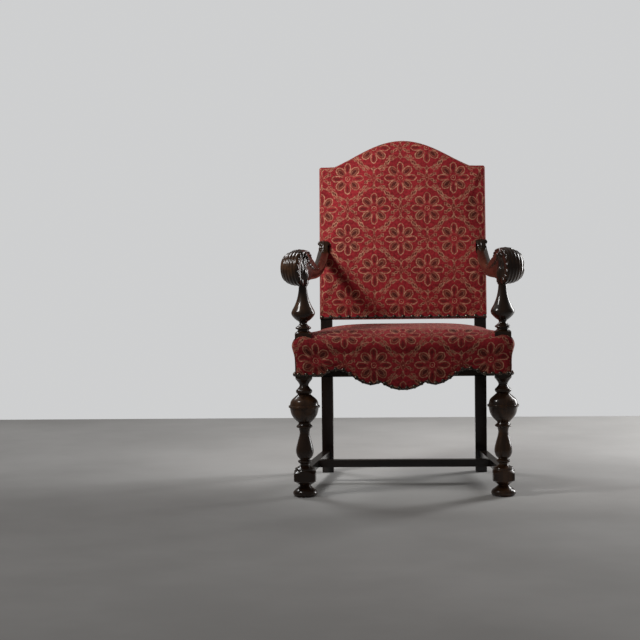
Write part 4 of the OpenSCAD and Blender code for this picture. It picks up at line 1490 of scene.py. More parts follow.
@dataclass
class BackUpholstery:
    """The back's cover over its stuffing, and the cloth on its outside."""

    plan: ChairPlan
    low_edge: float = 30.0 * MM
    height: float = 487.0 * MM
    crest_rise: float = 83.0 * MM
    crest_half: float = 218.0 * MM
    crown: float = 30.0 * MM
    step: float = 6.0 * MM
    start_in: float = 2.0 * MM
    flower_row: float = 82.0 * MM
    flower_side: float = 5.0 * MM
    corner: float = 6.0 * MM
    wall_front: float = 18.0 * MM
    gap: float = 0.3 * MM
    leg_low: float = -20.0 * MM
    leg_top: float = 42.0 * MM
    leg_deep: float = 70.0 * MM
    arm_in: float = 231.5 * MM
    arm_out: float = 320.0 * MM
    arm_low: float = 232.5 * MM
    arm_tall: float = 40.5 * MM
    arm_ahead: float = -100.0 * MM
    outside_in: float = 0.5 * MM
    outside_deep: float = 38.3 * MM
    slack: float = 1.6 * MM
    stuffing: Stuffing = field(default_factory=lambda: Stuffing(cap=5.0 * MM))
    # In from the sides, up from the lower edge and place across the slope, front to rear
    wall: tuple[Triple, ...] = (
        (7.0, 46.0, -18.0), (4.0, 36.0, -15.2), (2.0, 27.0, -11.2), (0.9, 19.0, -7.6),
        (0.5, 13.0, -5.4), (0.2, 6.5, -4.6), (0.0, 0.0, -4.0), (0.0, 0.0, 3.0), (0.0, 0.0, 10.0),
        (0.0, 0.0, 17.0), (0.0, 0.0, 24.0), (0.0, 0.0, 30.0), (0.0, 0.0, 36.0))
    free_levels: int = 4

    def crest(self, x: Array) -> Array:
        """Rise of the arched top over the corners at each x."""
        share = np.clip(np.abs(x) / self.crest_half, 0, 1)
        return self.crest_rise * (0.5 + 0.5 * np.cos(math.pi * share)) ** 0.6

    def shaped(self, shares: Array, inset: float) -> tuple[Array, list[tuple[Array, Array]]]:
        """Places the cover's vertices.

        Args:
            shares: rows of (across, up, minus level) from skirted_grid.
            inset: how far the skin starts behind its final place.

        Returns:
            The points, and the distances across and along the cloth for the face, the lower
            end, the upper end and the sides.
        """
        s, t = shares[:, 0], shares[:, 1]
        level = np.round(-shares[:, 2]).astype(int)
        rows = np.array(self.wall) * MM
        inward, lift, w = rows[level, 0], rows[level, 1], rows[level, 2]
        x = s * (self.plan.back_half - inward)
        low = self.low_edge + lift
        high = self.low_edge + self.height - inward + self.crest(x)
        v = low + (t + 1) / 2 * (high - low)
        radius = self.corner
        near = np.clip((np.abs(x) - (self.plan.back_half - inward - radius)) / radius, 0, 1)
        deep = np.clip((v - (high - radius)) / radius, 0, 1)
        x = np.sign(x) * (np.abs(x) - near * radius * corner_bend(deep))
        v = v - deep * radius * corner_bend(near)
        swell = (1 - np.abs(s) ** 2.6) * (1 - np.abs(t) ** 2.6)
        w = np.where(level == 0, w - (self.crown - self.wall_front) * swell + inset, w)
        gone = distances(rows)[level]
        u, along = x + self.flower_side, v - self.flower_row
        cloths = [(u, along), (u, along), (u, along + gone), (u + np.sign(s) * gone, along)]
        return self.plan.back_point(x, w, v), cloths

    def cover(self, velvet: Material) -> Piece:
        """Builds the back cover.

        Args:
            velvet: the cover's material.

        Returns:
            The cover.
        """
        across = round(2 * self.plan.back_half / self.step)
        along = round(self.height / self.step)
        levels = len(self.wall) - 1
        obj = skirted_grid("back_cover_velvet", across, along, levels)
        shares = places(obj)
        points, cloths = self.shaped(shares, self.start_in)
        set_cloth_map(obj, cloths, wall_of_face(obj, shares))
        move_to(obj, points)
        face_outward(obj)
        held = np.where(-shares[:, 2] >= self.free_levels, 1.0, 0.0)
        self.stuffing.swell(obj, held)
        self.skin = skin_tree(obj)
        self.make_room(obj)
        thicken(obj, self.plan.cloth)
        smooth_faces(obj, 50)
        dress(obj, velvet)
        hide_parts("back_cover")
        return obj

    def make_room(self, obj: Piece) -> None:
        """Cuts the cover away where the rear legs and the arms pass through it.

        Args:
            obj: the cover's skin.
        """
        slope = self.plan.back_matrix()
        for side in Side:
            low, high = side.span(self.plan.stile_in - self.gap, self.plan.stile_out + self.gap)
            cut_window(obj, Vector((low, -self.gap, self.leg_low)),
                       Vector((high, self.leg_deep, self.leg_top)), slope)
            low, high = side.span(self.arm_in, self.arm_out)
            cut_window(obj, Vector((low, self.arm_ahead, self.arm_low)),
                       Vector((high, -0.1 * MM, self.arm_low + self.arm_tall)), slope)

    def outside(self, velvet: Material) -> Piece:
        """Builds the cloth on the outside of the back, drawn in a little at its nails.

        Args:
            velvet: the cover's material.

        Returns:
            The sheet.
        """
        across = round(2 * self.plan.back_half / (2 * self.step))
        along = round(self.height / (2 * self.step))
        obj = add_sheet("outside_back_velvet", across, along)
        shares = places(obj)
        s, t = shares[:, 0], shares[:, 1]
        inset = self.outside_in
        x = s * (self.plan.back_half - inset)
        low = self.low_edge + inset
        high = self.low_edge + self.height - inset + self.crest(x)
        v = low + (t + 1) / 2 * (high - low)
        slack = self.slack * (1 - s**6) * (1 - t**6) * (
            0.6 + 0.4 * np.sin(x * 11.0 + 0.7) * np.cos(v * 9.0))
        move_to(obj, self.plan.back_point(x, self.outside_deep - slack, v))
        set_cloth_map(obj, [(x + self.flower_side, v - self.flower_row)])
        face_outward(obj, 0, Vector((0.0, 1.0, 0.0)))
        thicken(obj, self.plan.cloth)
        smooth_faces(obj, 50)
        dress(obj, velvet)
        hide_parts("outside_back_cover")
        return obj


@dataclass
class DustCloth:
    """The thin black cloth nailed under the seat, which sags a little between the rails."""

    sag: float = 7.0 * MM
    step: float = 22.0 * MM
    nailed: float = 22.0 * MM

    def build(self, black: Material) -> None:
        """Cuts the frame's own dust cloth into a fine net and lets it sag.

        Args:
            black: the cloth's material.
        """
        obj = copy_piece(frame["nodes"]["seat_dust_cover"], "dust_cloth")
        merge_doubles(obj)
        low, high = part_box("seat_dust_cover")
        for axis in (0, 1):
            for place in np.arange(low[axis] + self.step, high[axis] - 1.0 * MM, self.step):
                spot, normal = [0.0, 0.0, 0.0], [0.0, 0.0, 0.0]
                spot[axis], normal[axis] = float(place), 1.0
                with editing(obj, "FACE"):
                    bpy.ops.mesh.select_all(action="SELECT")
                    bpy.ops.mesh.bisect(plane_co=spot, plane_no=normal)
        points = places(obj)
        middle, half = (low + high) / 2, (high - low) / 2
        s = np.clip((points[:, 0] - middle.x) / (half.x - self.nailed), -1, 1)
        t = np.clip((points[:, 1] - middle.y) / (half.y - self.nailed), -1, 1)
        ripple = 0.85 + 0.15 * np.sin(points[:, 0] * 40.0) * np.sin(points[:, 1] * 33.0 + 1.0)
        points[:, 2] -= self.sag * (1 - s**2) * (1 - t**2) * ripple
        move_to(obj, points)
        smooth_faces(obj, 50)
        dress(obj, black)
        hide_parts("seat_dust_cover")
        log.info("built %s", obj.name)


# Braids


@dataclass
class TwistedBraid:
    """The dark two-ply braid that closes the lower edges of the seat and the back."""

    seat: SeatUpholstery
    back: BackUpholstery
    tall: float = 2.6 * MM
    deep: float = 1.7 * MM
    pitch: float = 9.0 * MM
    ply: float = 0.12
    around: int = 12
    end: float = 1.5 * MM
    seat_out: float = 0.9 * MM
    back_out: float = 5.3 * MM
    step: float = 2.0 * MM

    def strand(self, name: str, line: Array, out: Array, up: Array) -> Piece:
        """Models one length of braid along a line.

        Args:
            name: the strand's name.
            line: the points that its middle follows.
            out: at each point, the way out from the cloth.
            up: at each point, the way up the cloth.

        Returns:
            The strand, closed at both ends.
        """
        count = len(line)
        obj = add_sheet(name, count - 1, self.around)
        shares = places(obj)
        row = np.round((shares[:, 0] + 1) / 2 * (count - 1)).astype(int)
        turn = (shares[:, 1] + 1) * math.pi
        gone = distances(line)
        taper = np.sqrt(np.clip(np.minimum(gone, gone[-1] - gone) / self.end, 0, 1))[row]
        swell = 1 + self.ply * np.cos(2 * (turn - 2 * math.pi * gone[row] / self.pitch))
        swell = swell * taper
        place = (line[row] + out[row] * (np.cos(turn) * swell * self.deep)[:, None]
                 + up[row] * (np.sin(turn) * swell * self.tall)[:, None])
        set_cloth_map(obj, [(gone[row], turn * self.tall)])
        move_to(obj, place)
        merge_doubles(obj)
        smooth_faces(obj, 60)
        return obj

    def seat_braid(self, braid: Material) -> None:
        """Lays the braid round the seat's lower edge, and between the rear legs.

        Args:
            braid: its material.
        """
        rows = self.seat.edge_line()
        zero = np.zeros(len(rows))
        out = np.column_stack([rows[:, 3], rows[:, 4], zero])
        up = np.tile((0.0, 0.0, 1.0), (len(rows), 1))
        line = rows[:, :3] + up * self.tall + out * self.seat_out
        front = self.strand("seat_braid", line, out, up)
        plan = self.seat.plan
        x = np.arange(-plan.stile_in + 1.5 * MM, plan.stile_in - 1.4 * MM, self.step)
        rear = np.column_stack([x, np.full(len(x), self.seat.rear + self.seat_out),
                                np.full(len(x), plan.rail_z + self.tall)])
        behind = self.strand("rear_braid", rear, np.tile((0.0, 1.0, 0.0), (len(x), 1)),
                             np.tile((0.0, 0.0, 1.0), (len(x), 1)))
        obj = join_pieces([front, behind], "seat_braid")
        dress(obj, braid)
        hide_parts("seat_gimp")
        log.info("built %s", obj.name)

    def back_braid(self, braid: Material) -> None:
        """Lays the braid along the back's lower edge.

        Args:
            braid: its material.
        """
        plan = self.seat.plan
        x = np.arange(-plan.back_half + 0.5 * MM, plan.back_half - 0.4 * MM, self.step)
        full = np.ones(len(x))
        origin = plan.back_point(0 * x, 0 * x, 0 * x)
        out = plan.back_point(0 * x, -full, 0 * x) - origin
        up = plan.back_point(0 * x, 0 * x, full) - origin
        line = plan.back_point(x, full * -self.back_out, full * (self.back.low_edge + self.tall))
        obj = self.strand("back_braid", line, out, up)
        dress(obj, braid)
        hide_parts("back_gimp")
        log.info("built %s", obj.name)


# Nails


@dataclass
class NailRows:
    """Domed and faintly hammered nail heads, one on each head of the frame's nail nodes."""

    nodes: Names = ("seat_nails_front", "seat_nails_left", "seat_nails_right",
                              "seat_nails_rear", "back_nails", "outside_back_nails_sides",
                              "outside_back_nails_ends")
    on_braid: Names = ("seat_nails_front", "seat_nails_left", "seat_nails_right",
                                 "seat_nails_rear", "back_nails")
    sunk: float = 0.4 * MM
    radius: float = 6.2 * MM
    height: float = 4.6 * MM
    facets: int = 14
    rings: int = 4
    unevenness: float = 0.02
    tilt: float = 0.035

    def head(self) -> Piece:
        """Models one nail head: a disc extruded up in shrinking rings to a dome.

        Returns:
            The head, on the origin and pointing up.
        """
        obj = add_primitive(bpy.ops.mesh.primitive_circle_add, "nail_head",
                            vertices=self.facets, radius=self.radius, fill_type="NGON")
        quarter, rings = math.pi / 2, self.rings
        with editing(obj, "FACE"):
            bpy.ops.mesh.select_all(action="SELECT")
            before = 1.0
            for i in range(1, rings):
                angle = quarter * i / rings
                rise = self.height * (math.sin(angle) - math.sin(angle - quarter / rings))
                shrink = math.cos(angle) / before
                before = math.cos(angle)
                bpy.ops.mesh.extrude_region_move(TRANSFORM_OT_translate={"value": (0, 0, rise)})
                bpy.ops.transform.resize(value=(shrink, shrink, 1), center_override=(0, 0, 0))
            reached = math.sin(quarter * (rings - 1) / rings)
            bpy.ops.mesh.poke(offset=self.height * (1 - reached))
        return obj

    def seats(self, node: str) -> list[tuple[Vector, Vector]]:
        """Finds each nail of a node.

        Args:
            node: the frame's node.

        Returns:
            For each nail, the middle of its flat face and the way that it points.
        """
        obj = copy_piece(frame["nodes"][node], "nail_finder")
        merge_doubles(obj)
        points, faces = places(obj), obj.data.polygons
        parent = np.arange(len(points))

        def root(i: int) -> int:
            """The first vertex of the island that a vertex belongs to."""
            while parent[i] != i:
                parent[i] = parent[parent[i]]
                i = parent[i]
            return i

        for face in faces:
            first = root(face.vertices[0])
            for other in face.vertices[1:]:
                parent[root(other)] = first
        islands: dict[int, list[int]] = {}
        for face in faces:
            islands.setdefault(root(face.vertices[0]), []).append(face.index)
        found = []
        for members in islands.values():
            flat: dict[tuple[float, ...], float] = {}
            for i in members:
                key = tuple(round(c, 2) for c in faces[i].normal)
                flat[key] = flat.get(key, 0.0) + faces[i].area
            down = Vector(max(flat, key=flat.get)).normalized()
            vertices = sorted({v for i in members for v in faces[i].vertices})
            heights = points[vertices] @ np.array(down)
            base = points[vertices][heights > heights.max() - 0.2 * MM]
            found.append((Vector((base.min(axis=0) + base.max(axis=0)) / 2), -down))
        bpy.data.objects.remove(obj)
        return found

    def build(self, bronze: Material) -> None:
        """Drives every row of nails, each nail turned and tilted a little its own way.

        Args:
            bronze: their material.
        """
        head = self.head()
        chance = np.random.default_rng(SEED)
        for node in self.nodes:
            row = []
            sunk = self.sunk if node in self.on_braid else 0.0
            for place, way in self.seats(node):
                nail = copy_piece(head, f"{node}_head")
                points = places(nail)
                crown = points[:, 2] / self.height
                points *= 1 + chance.normal(0, self.unevenness, points.shape) * crown[:, None]
                move_to(nail, points)
                tilt = Matrix.Rotation(chance.normal(0, self.tilt), 4, "X")
                turn = Matrix.Rotation(chance.uniform(0, math.pi), 4, "Z")
                nail.data.transform(
                    Matrix.Translation(place - way * sunk) @ aimed(way) @ tilt @ turn)
                row.append(nail)
            obj = join_pieces(row, f"{node}_domed")
            smooth_faces(obj, 35)
            dress(obj, bronze)
            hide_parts(node)
            log.info("%s: %d nails", node, len(row))
        bpy.data.objects.remove(head)


# Studio


@dataclass(frozen=True)
class SoftLight:
    """A rectangular light: its place, its aim, its size, its watts, colour and spread."""

    name: str
    place: Triple
    aim: Triple
    size: Pair
    power: float
    colour: Triple
    spread: float = math.radians(180.0)

    def build(self) -> None:
        """Hangs the light."""
        data = bpy.data.lights.new(self.name, "AREA")
        data.shape = "RECTANGLE"
        data.size, data.size_y = self.size
        data.energy = self.power
        data.color = self.colour
        data.spread = self.spread
        obj = bpy.data.objects.new(self.name, data)
        bpy.context.scene.collection.objects.link(obj)
        way = Vector(self.aim) - Vector(self.place)
        obj.matrix_world = Matrix.Translation(self.place) @ aimed(way, "-Z")
        obj.visible_camera = False


@dataclass
class Studio:
    """The floor, the light and the camera at the photograph's angle."""

    image_size: float = 640.0
    focal_px: float = 1633.1
    camera_place: Triple = (0.0178, -4.9799, 0.7779)
    yaw: float = math.radians(-3.115)
    pitch: float = math.radians(-3.194)
    roll: float = math.radians(-0.697)
    ambient: float = 0.14
    ambient_colour: Triple = (0.80, 0.75, 0.71)
    backdrop: Triple = (0.62, 0.625, 0.63)
    floor_near: float = -2.6
    floor_far: float = 1.71
    floor_half: float = 2.6
    lights: tuple[SoftLight, ...] = (
        SoftLight("front_window", (-1.17, -0.75, 1.52), (-0.16, 0.2, 0.95), (0.35, 0.45), 5.0,
                  (1.0, 0.99, 0.97), math.radians(80.0)),
        SoftLight("rear_window", (-1.55, 1.45, 2.45), (0.0, 0.0, 0.5), (0.8, 0.8), 20.0,
                  (0.98, 0.99, 1.0)),
        SoftLight("bright_wall", (1.9, 1.3, 1.1), (0.0, 0.0, 0.6), (0.8, 1.7), 42.0,
                  (1.0, 1.0, 1.0)))

    def camera(self) -> None:
        """Sets the camera by its heading, pitch and roll."""
        ahead = Vector((math.sin(self.yaw) * math.cos(self.pitch),
                        math.cos(self.yaw) * math.cos(self.pitch), math.sin(self.pitch)))
        level = Vector((math.cos(self.yaw), -math.sin(self.yaw), 0))
        upright = level.cross(ahead)
        right = level * math.cos(self.roll) + upright * math.sin(self.roll)
        up = upright * math.cos(self.roll) - level * math.sin(self.roll)
        data = bpy.data.cameras.new("camera")
        data.sensor_width = 36.0
        data.lens = data.sensor_width * self.focal_px / self.image_size
        obj = bpy.data.objects.new("camera", data)
        bpy.context.scene.collection.objects.link(obj)
        turn = Matrix((right, up, -ahead)).transposed().to_4x4()
        obj.matrix_world = Matrix.Translation(self.camera_place) @ turn
        bpy.context.scene.camera = obj

    def floor(self) -> None:
        """Lays the floor, which ends a little behind the chair as the room's does."""
        obj = add_primitive(bpy.ops.mesh.primitive_grid_add, "floor", size=1,
                            x_subdivisions=20, y_subdivisions=20)
        points = places(obj)
        middle = (self.floor_near + self.floor_far) / 2
        points[:, 0] *= 2 * self.floor_half
        points[:, 1] = points[:, 1] * (self.floor_far - self.floor_near) + middle
        move_to(obj, points)
        obj.data.materials.append(PaleFloor().build())

    def surroundings(self) -> None:
        """Sets a pale backdrop that lights the chair only faintly."""
        world = bpy.data.worlds.new("studio")
        bpy.context.scene.world = world
        world.use_nodes = True
        nodes, links = world.node_tree.nodes, world.node_tree.links
        glow = nodes["Background"]
        glow.inputs["Color"].default_value = (*self.ambient_colour, 1.0)
        glow.inputs["Strength"].default_value = self.ambient
        wall = nodes.new("ShaderNodeBackground")
        wall.inputs["Color"].default_value = (*self.backdrop, 1.0)
        seen = nodes.new("ShaderNodeLightPath")
        mix = nodes.new("ShaderNodeMixShader")
        links.new(seen.outputs["Is Camera Ray"], mix.inputs[0])
        links.new(glow.outputs[0], mix.inputs[1])
        links.new(wall.outputs[0], mix.inputs[2])
        links.new(mix.outputs[0], nodes["World Output"].inputs["Surface"])

    def build(self) -> None:
        """Sets up the backdrop, the lights, the floor and the camera."""
        self.surroundings()
        for light in self.lights:
            light.build()
        bpy.context.scene.view_settings.view_transform = "Standard"
        self.floor()
        self.camera()


# Woodwork


@dataclass(frozen=True)
class Leaf:
    """A carved leaf along a spine, in millimetres on the right arm.

    Each row of the spine holds a place (x, y, z), the way that the leaf faces there (x, y, z)
    and its half width.
    """

    spine: tuple[tuple[float, ...], ...]
    lobes: float = 4.0
    notch: float = 0.3
    rise: float = 3.0
    vein: float = 1.6
    sink: float = 2.5
    depth: float = 5.0
    steps: int = 8
    across: int = 28

    def build(self, name: str) -> Piece:
        """Models the leaf as a closed curved slab.

        Args:
            name: the leaf's name.

        Returns:
            The leaf.
        """
        rows = smooth_rows(self.spine, self.steps)
        count = len(rows)
        obj = add_sheet(name, count - 1, self.across)
        shares = places(obj)
        t, s = (shares[:, 0] + 1) / 2, shares[:, 1]
        row = np.round(t * (count - 1)).astype(int)
        place, up, half = rows[row, :3], rows[row, 3:6], rows[row, 6]
        up = up / np.linalg.norm(up, axis=1, keepdims=True)
        along = np.gradient(rows[:, :3], axis=0)[row]
        side = np.cross(along, up)
        side = side / np.linalg.norm(side, axis=1, keepdims=True)
        away = np.abs(s)
        edge = 1 - self.notch * np.abs(np.cos(math.pi * self.lobes * t)) ** 3
        slant = np.abs(np.sin(math.pi * self.lobes * (t + 0.16 * away)))
        midrib = np.exp(-((s / 0.13) ** 2))
        height = (self.rise * (1 - away**2.4) - self.sink * away**6
                  + self.vein * (slant - 0.5) * np.clip(away * 2.2, 0, 1) + self.vein * midrib)
        points = place + side * (s * half * edge)[:, None] + up * height[:, None]
        move_to(obj, points * MM)
        face_outward(obj, len(obj.data.polygons) // 2, Vector(rows[count // 2, 3:6]))
        thicken(obj, self.depth * MM)
        return obj


@dataclass
class CarvedArms:
    """The two arms: the frame's own arms with their leaves and scrolls carved on them."""

    cell: float = 1.5 * MM
    scroll: Triple = (284.0, -279.6, 665.0)
    scroll_turn: float = math.radians(20.0)
    scroll_radius: float = 49.0
    eye_out: float = 58.0
    bead_from: float = math.radians(78.0)
    bead_to: float = math.radians(-72.0)
    bead_in: float = 6.5
    bead_half: Triple = (4.2, 8.6, 7.4)
    beads: int = 7
    rear_end: float = 234.7
    length: float = 492.3
    hollow: float = 11.0
    rear_leaf: Leaf = Leaf((
        (250, 240, 731, 0, 0.1, 1, 15), (250, 228, 736, 0, 0, 1, 18.5),
        (250, 216, 737, 0, -0.35, 0.95, 20), (250, 206, 732, 0, -0.8, 0.65, 19.5),
        (250, 199.5, 722, 0, -1, 0.15, 18.0), (250, 199, 712, 0, -1, -0.05, 16.0),
        (250, 200, 703, 0, -0.95, -0.25, 10.0)),
        lobes=3.0, notch=0.22, rise=2.6, vein=2.2, sink=1.0, depth=6.0)
    hump_leaf: Leaf = Leaf((
        (283, -108, 669, 0, 0.6, 1, 6), (284, -122, 683, 0, 0.6, 1, 15),
        (285.5, -144, 696, 0, 0.4, 1, 20), (288, -172, 703.5, 0, 0.35, 1, 22.5),
        (291, -205, 711, 0, 0.3, 1, 24), (296, -238, 716, 0, 0.05, 1, 24),
        (300, -262, 716, 0, -0.2, 1, 20)), lobes=5.0, notch=0.2, rise=1.6, vein=1.9, sink=4.0,
        depth=20.0)
    side_leaf: Leaf = Leaf((
        (274, -268, 697, -1, -0.25, 0.3, 10), (269.5, -245, 688, -1, -0.1, 0.3, 17),
        (264, -215, 681, -1, 0.05, 0.3, 19), (259.5, -180, 674, -1, 0.05, 0.25, 17),
        (256, -145, 666, -1, 0.05, 0.2, 12), (252.5, -112, 658, -1, 0.05, 0.1, 3)),
        lobes=6.0, notch=0.22, rise=2.4, vein=2.6, sink=3.0, depth=6.0)
    # The pointed drop that hugs the top of the post
    drop_leaf: Leaf = Leaf((
        (283, -284, 660, -0.75, -0.66, 0.1, 9), (281, -283, 650, -0.7, -0.7, 0.1, 14),
        (279, -280, 640, -0.65, -0.75, 0, 14.5), (278.5, -276, 631, -0.6, -0.8, -0.1, 9.5),
        (279, -273.5, 624.5, -0.6, -0.8, -0.2, 2.5)),
        lobes=1.0, notch=0.0, rise=5.0, vein=1.2, sink=1.0, depth=6.0, across=20)
    # Along the scroll's inner face: towards the rear, up, and half width
    face_rows: tuple[Triple, ...] = (
        (10, 44, 8), (14, 28, 17), (6, 12, 21), (-4, -4, 20), (-6, -20, 17), (0, -33, 12),
        (6, -44, 6))
    # Radius and height of the button on the scroll's outer end
    eye_profile: tuple[Pair, ...] = (
        (17.0, 0.0), (16.5, 2.4), (14.0, 3.6), (12.0, 2.6), (10.5, 1.2), (9.0, 2.4), (7.0, 4.6),
        (4.0, 6.2), (1.0, 6.8))
    eye_sunk: float = 5.0

    def face_point(self, h: float, z: float, out: float = 0.0) -> Array:
        """A point on the scroll's inner face.

        Args:
            h: millimetres from its middle towards the rear.
            z: millimetres over its middle.
            out: millimetres in front of the face.

        Returns:
            The point on the right arm, in millimetres.
        """
        c, s = math.cos(self.scroll_turn), math.sin(self.scroll_turn)
        return np.array(self.scroll) + np.array([-s * h - c * out, c * h - s * out, z])

    def face_leaf(self) -> Leaf:
        """The leaf that curls over the scroll's inner face and ends in a drop on the post.

        Returns:
            The leaf.
        """
        c, s = math.cos(self.scroll_turn), math.sin(self.scroll_turn)
        rows = tuple((*self.face_point(h, z), -c, -s, 0.0, half) for h, z, half in self.face_rows)
        return Leaf(rows, lobes=4.0, notch=0.26, rise=3.6, vein=2.0, sink=1.5, depth=4.0)

    def bead_row(self) -> list[Piece]:
        """The lobes along the front half of the scroll's inner rim, each a sunk long bead.

        Returns:
            The beads.
        """
        made = []
        for i in range(self.beads):
            angle = self.bead_from + (self.bead_to - self.bead_from) * i / (self.beads - 1)
            radius = self.scroll_radius - self.bead_in
            middle = self.face_point(-radius * math.cos(angle), radius * math.sin(angle), 0.5)
            bead = add_primitive(bpy.ops.mesh.primitive_uv_sphere_add, f"bead_{i}",
                                 segments=16, ring_count=10, radius=1.0)
            size = Matrix.Diagonal((*self.bead_half, 1.0))
            roll = Matrix.Rotation(angle, 4, "X")
            face = Matrix.Rotation(self.scroll_turn, 4, "Z")
            bead.data.transform(Matrix.Scale(MM, 4) @ Matrix.Translation(Vector(middle)) @ face
                                @ roll @ size)
            made.append(bead)
        return made

    def eye(self) -> Piece:
        """The turned button on the scroll's outer end, raised ring by ring from a disc.

        Returns:
            The button.
        """
        profile = self.eye_profile
        obj = add_primitive(bpy.ops.mesh.primitive_circle_add, "scroll_eye", vertices=36,
                            radius=profile[0][0], fill_type="NGON")
        with editing(obj, "FACE"):
            bpy.ops.mesh.select_all(action="SELECT")
            bpy.ops.mesh.extrude_region_move(
                TRANSFORM_OT_translate={"value": (0, 0, self.eye_sunk)})
            for (before, low), (radius, high) in zip(profile, profile[1:]):
                bpy.ops.mesh.extrude_region_move(
                    TRANSFORM_OT_translate={"value": (0, 0, high - low)})
                bpy.ops.transform.resize(value=(radius / before,) * 2 + (1,),
                                         center_override=(0, 0, 0))
        c, s = math.cos(self.scroll_turn), math.sin(self.scroll_turn)
        middle = np.array(self.scroll) + self.eye_out * np.array((c, s, 0.0))
        obj.data.transform(Matrix.Scale(MM, 4) @ Matrix.Translation(Vector(middle))
                           @ aimed(Vector((c, s, 0.0)))
                           @ Matrix.Translation((0, 0, -self.eye_sunk)))
        return obj

    def share_along(self, points: Array) -> Array:
        """How far points lie along the arm, from 0 at its rear end to 1 in front."""
        return (self.rear_end - points[:, 1]) / self.length

    def round_tube(self, obj: Piece) -> None:
        """Turns the section of the plain stretch between the carved ends into an ellipse.

        Args:
            obj: the arm.
        """
        points = places(obj) / MM
        share = self.share_along(points)
        weight = np.interp(share, (0.06, 0.12, 0.60, 0.74), (0.0, 1.0, 1.0, 0.0))
        spots = np.linspace(0.04, 0.76, 37)
        low, high = np.empty((len(spots), 2)), np.empty((len(spots), 2))
        for i, spot in enumerate(spots):
            slice_ = points[np.abs(share - spot) < 0.008][:, (0, 2)]
            low[i], high[i] = slice_.min(axis=0), slice_.max(axis=0)
        away, half = np.empty((len(points), 2)), np.empty((len(points), 2))
        for i, axis in enumerate((0, 2)):
            low_here, high_here = (np.interp(share, spots, side[:, i]) for side in (low, high))
            away[:, i] = points[:, axis] - (low_here + high_here) / 2
            half[:, i] = (high_here - low_here) / 2
        span = np.maximum(np.linalg.norm(away / half, axis=1), 0.2)
        grown = 1 + weight * (1 / span - 1)
        points[:, (0, 2)] += away * (grown - 1)[:, None]
        move_to(obj, points * MM)

    def hollow_out(self, obj: Piece) -> None:
        """Lowers the arm's top just in front of the rear leaf, so that the leaf stands free.

        Args:
            obj: the arm.
        """
        points = places(obj) / MM
        share = self.share_along(points)
        dip = np.interp(share, (0.0, 0.03, 0.06, 0.12, 0.30), (0.0, 0.9, 1.0, 0.8, 0.0))
        low = np.interp(share, (0.0, 0.09, 0.2, 0.32, 0.45), (694.0, 683.0, 662.0, 643.0, 632.0))
        lift = np.clip((points[:, 2] - low) / 36.0, 0, 1)
        points[:, 2] -= self.hollow * dip * lift
        move_to(obj, points * MM)

    def build(self, walnut: Material) -> None:
        """Carves both arms.

        Args:
            walnut: the arms' material.
        """
        for side, node in ((Side.RIGHT, "arm_right"), (Side.LEFT, "arm_left")):
            arm = copy_piece(frame["nodes"][node], f"{node}_carved")
            merge_doubles(arm)
            apply_modifier(arm, "REMESH", mode="VOXEL", voxel_size=self.cell)
            self.round_tube(arm)
            self.hollow_out(arm)
            carvings = [self.rear_leaf.build("rear_leaf"), self.hump_leaf.build("hump_leaf"),
                        self.side_leaf.build("side_leaf"),
                        self.face_leaf().build("face_leaf"), self.drop_leaf.build("drop_leaf"),
                        self.eye(), *self.bead_row()]
            carving = join_pieces(carvings, "carving")
            if side is Side.LEFT:
                carving.data.transform(Matrix.Scale(-1, 4, (1, 0, 0)))
                carving.data.flip_normals()
            obj = join_pieces([arm, carving], f"{node}_carved")
            apply_modifier(obj, "REMESH", mode="VOXEL", voxel_size=self.cell)
            apply_modifier(obj, "SMOOTH", factor=0.5, iterations=4)
            smooth_faces(obj, 180)
            dress(obj, walnut)
            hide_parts(node)
            log.info("%s carved, %d faces", node, len(obj.data.polygons))


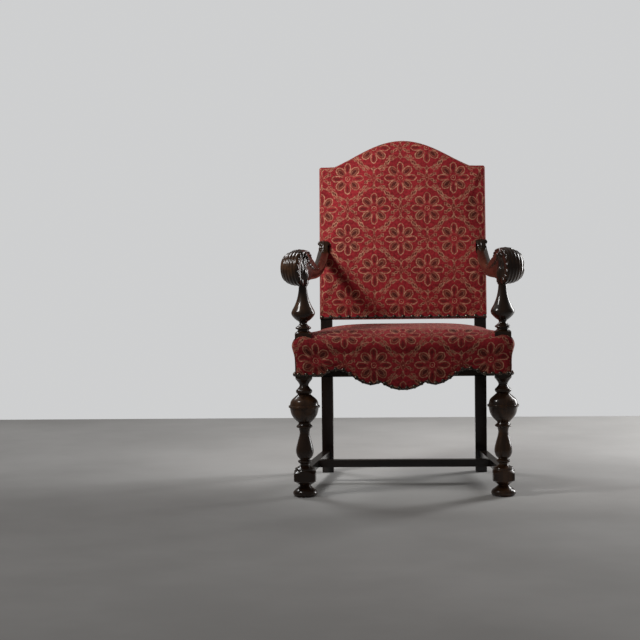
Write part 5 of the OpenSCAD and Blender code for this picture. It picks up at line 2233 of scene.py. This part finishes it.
@dataclass
class Woodwork:
    """Puts the wood finishes on the frame's own pieces."""

    along_x: Names = ("cross_stretcher",)
    along_y: Names = ("side_stretcher_left", "side_stretcher_right")
    turned: Names = ("front_leg_left", "front_leg_right")
    along_z: Names = ("rear_leg_left", "rear_leg_right")
    hidden_x: Names = ("back_top_rail", "corner_blocks")
    # Painted shade: the rails that can show in the gaps under the covers' edges take a near-black
    # beech, which stands in for the shade in those gaps.
    shade_black_x: Names = ("front_rail", "rear_rail", "front_apron", "back_bottom_rail")
    shade_black_y: Names = ("side_rail_left", "side_rail_right")
    # Painted shade: a darker copy of the same walnut for the stretchers and the rear legs, which
    # stands in for the shade that falls on these low and rear parts.
    walnut: PolishedWalnut = PolishedWalnut((0.0045, 0.0027, 0.0020), (0.0115, 0.0062, 0.0044),
                                            (0.036, 0.018, 0.0100), name="shade_darkened_walnut")
    # Near-black beech as painted shade for the rails seen in those gaps.
    stained: PlainBeech = PlainBeech((0.030, 0.019, 0.013), (0.012, 0.008, 0.006),
                                     "shade_black_beech")

    def build(self) -> None:
        """Dresses the frame's wooden nodes."""
        # The stretchers and the rear legs take the walnut darkened as painted shade; the front
        # legs keep the plain walnut.
        dressed = [(self.along_x, self.walnut.build(Grain.X)),
                   (self.along_y, self.walnut.build(Grain.Y)),
                   (self.along_z, self.walnut.build(Grain.Z)),
                   (self.turned, PolishedWalnut().build(Grain.Z)),
                   (self.hidden_x, PlainBeech().build(Grain.X)),
                   (self.shade_black_x, self.stained.build(Grain.X)),
                   (self.shade_black_y, self.stained.build(Grain.Y))]
        for names, material in dressed:
            dress_nodes(names, material)


def main() -> None:
    """Builds the classes in order."""
    logging.basicConfig(level=logging.INFO, format="%(name)s: %(message)s")
    Studio().build()
    Woodwork().build()
    velvet = CutVelvet().build()
    calico = WovenCloth("calico", (0.62, 0.55, 0.43), (0.40, 0.34, 0.25), 1.1 * MM,
                        0.3 * MM).build()
    jute = WovenCloth("jute", (0.40, 0.29, 0.16), (0.20, 0.13, 0.07), 2.4 * MM, 0.8 * MM).build()
    black = WovenCloth("black_cotton", (0.035, 0.033, 0.032), (0.010, 0.010, 0.010), 0.9 * MM,
                       0.2 * MM).build()
    braid = DarkBraid().build()
    bronze = AgedBronze().build()
    steel = DrawnSteel().build()
    dress_nodes(("seat_webbing_long", "seat_webbing_cross", "seat_canvas", "back_webbing_long",
                 "back_webbing_cross", "back_canvas"), jute)
    dress_nodes(("seat_springs", "arm_screws"), steel)
    plan = ChairPlan()
    seat = SeatUpholstery(plan)
    log.info("built %s", seat.cover(velvet).name)
    back = BackUpholstery(plan)
    log.info("built %s", back.cover(velvet).name)
    log.info("built %s", back.outside(velvet).name)
    DustCloth().build(black)
    trim = TwistedBraid(seat, back)
    trim.seat_braid(braid)
    trim.back_braid(braid)
    Pads().build(calico, (seat.skin, back.skin))
    NailRows().build(bronze)
    CarvedArms().build(PolishedWalnut().build(Grain.Y))


if __name__ == "__main__":
    main()
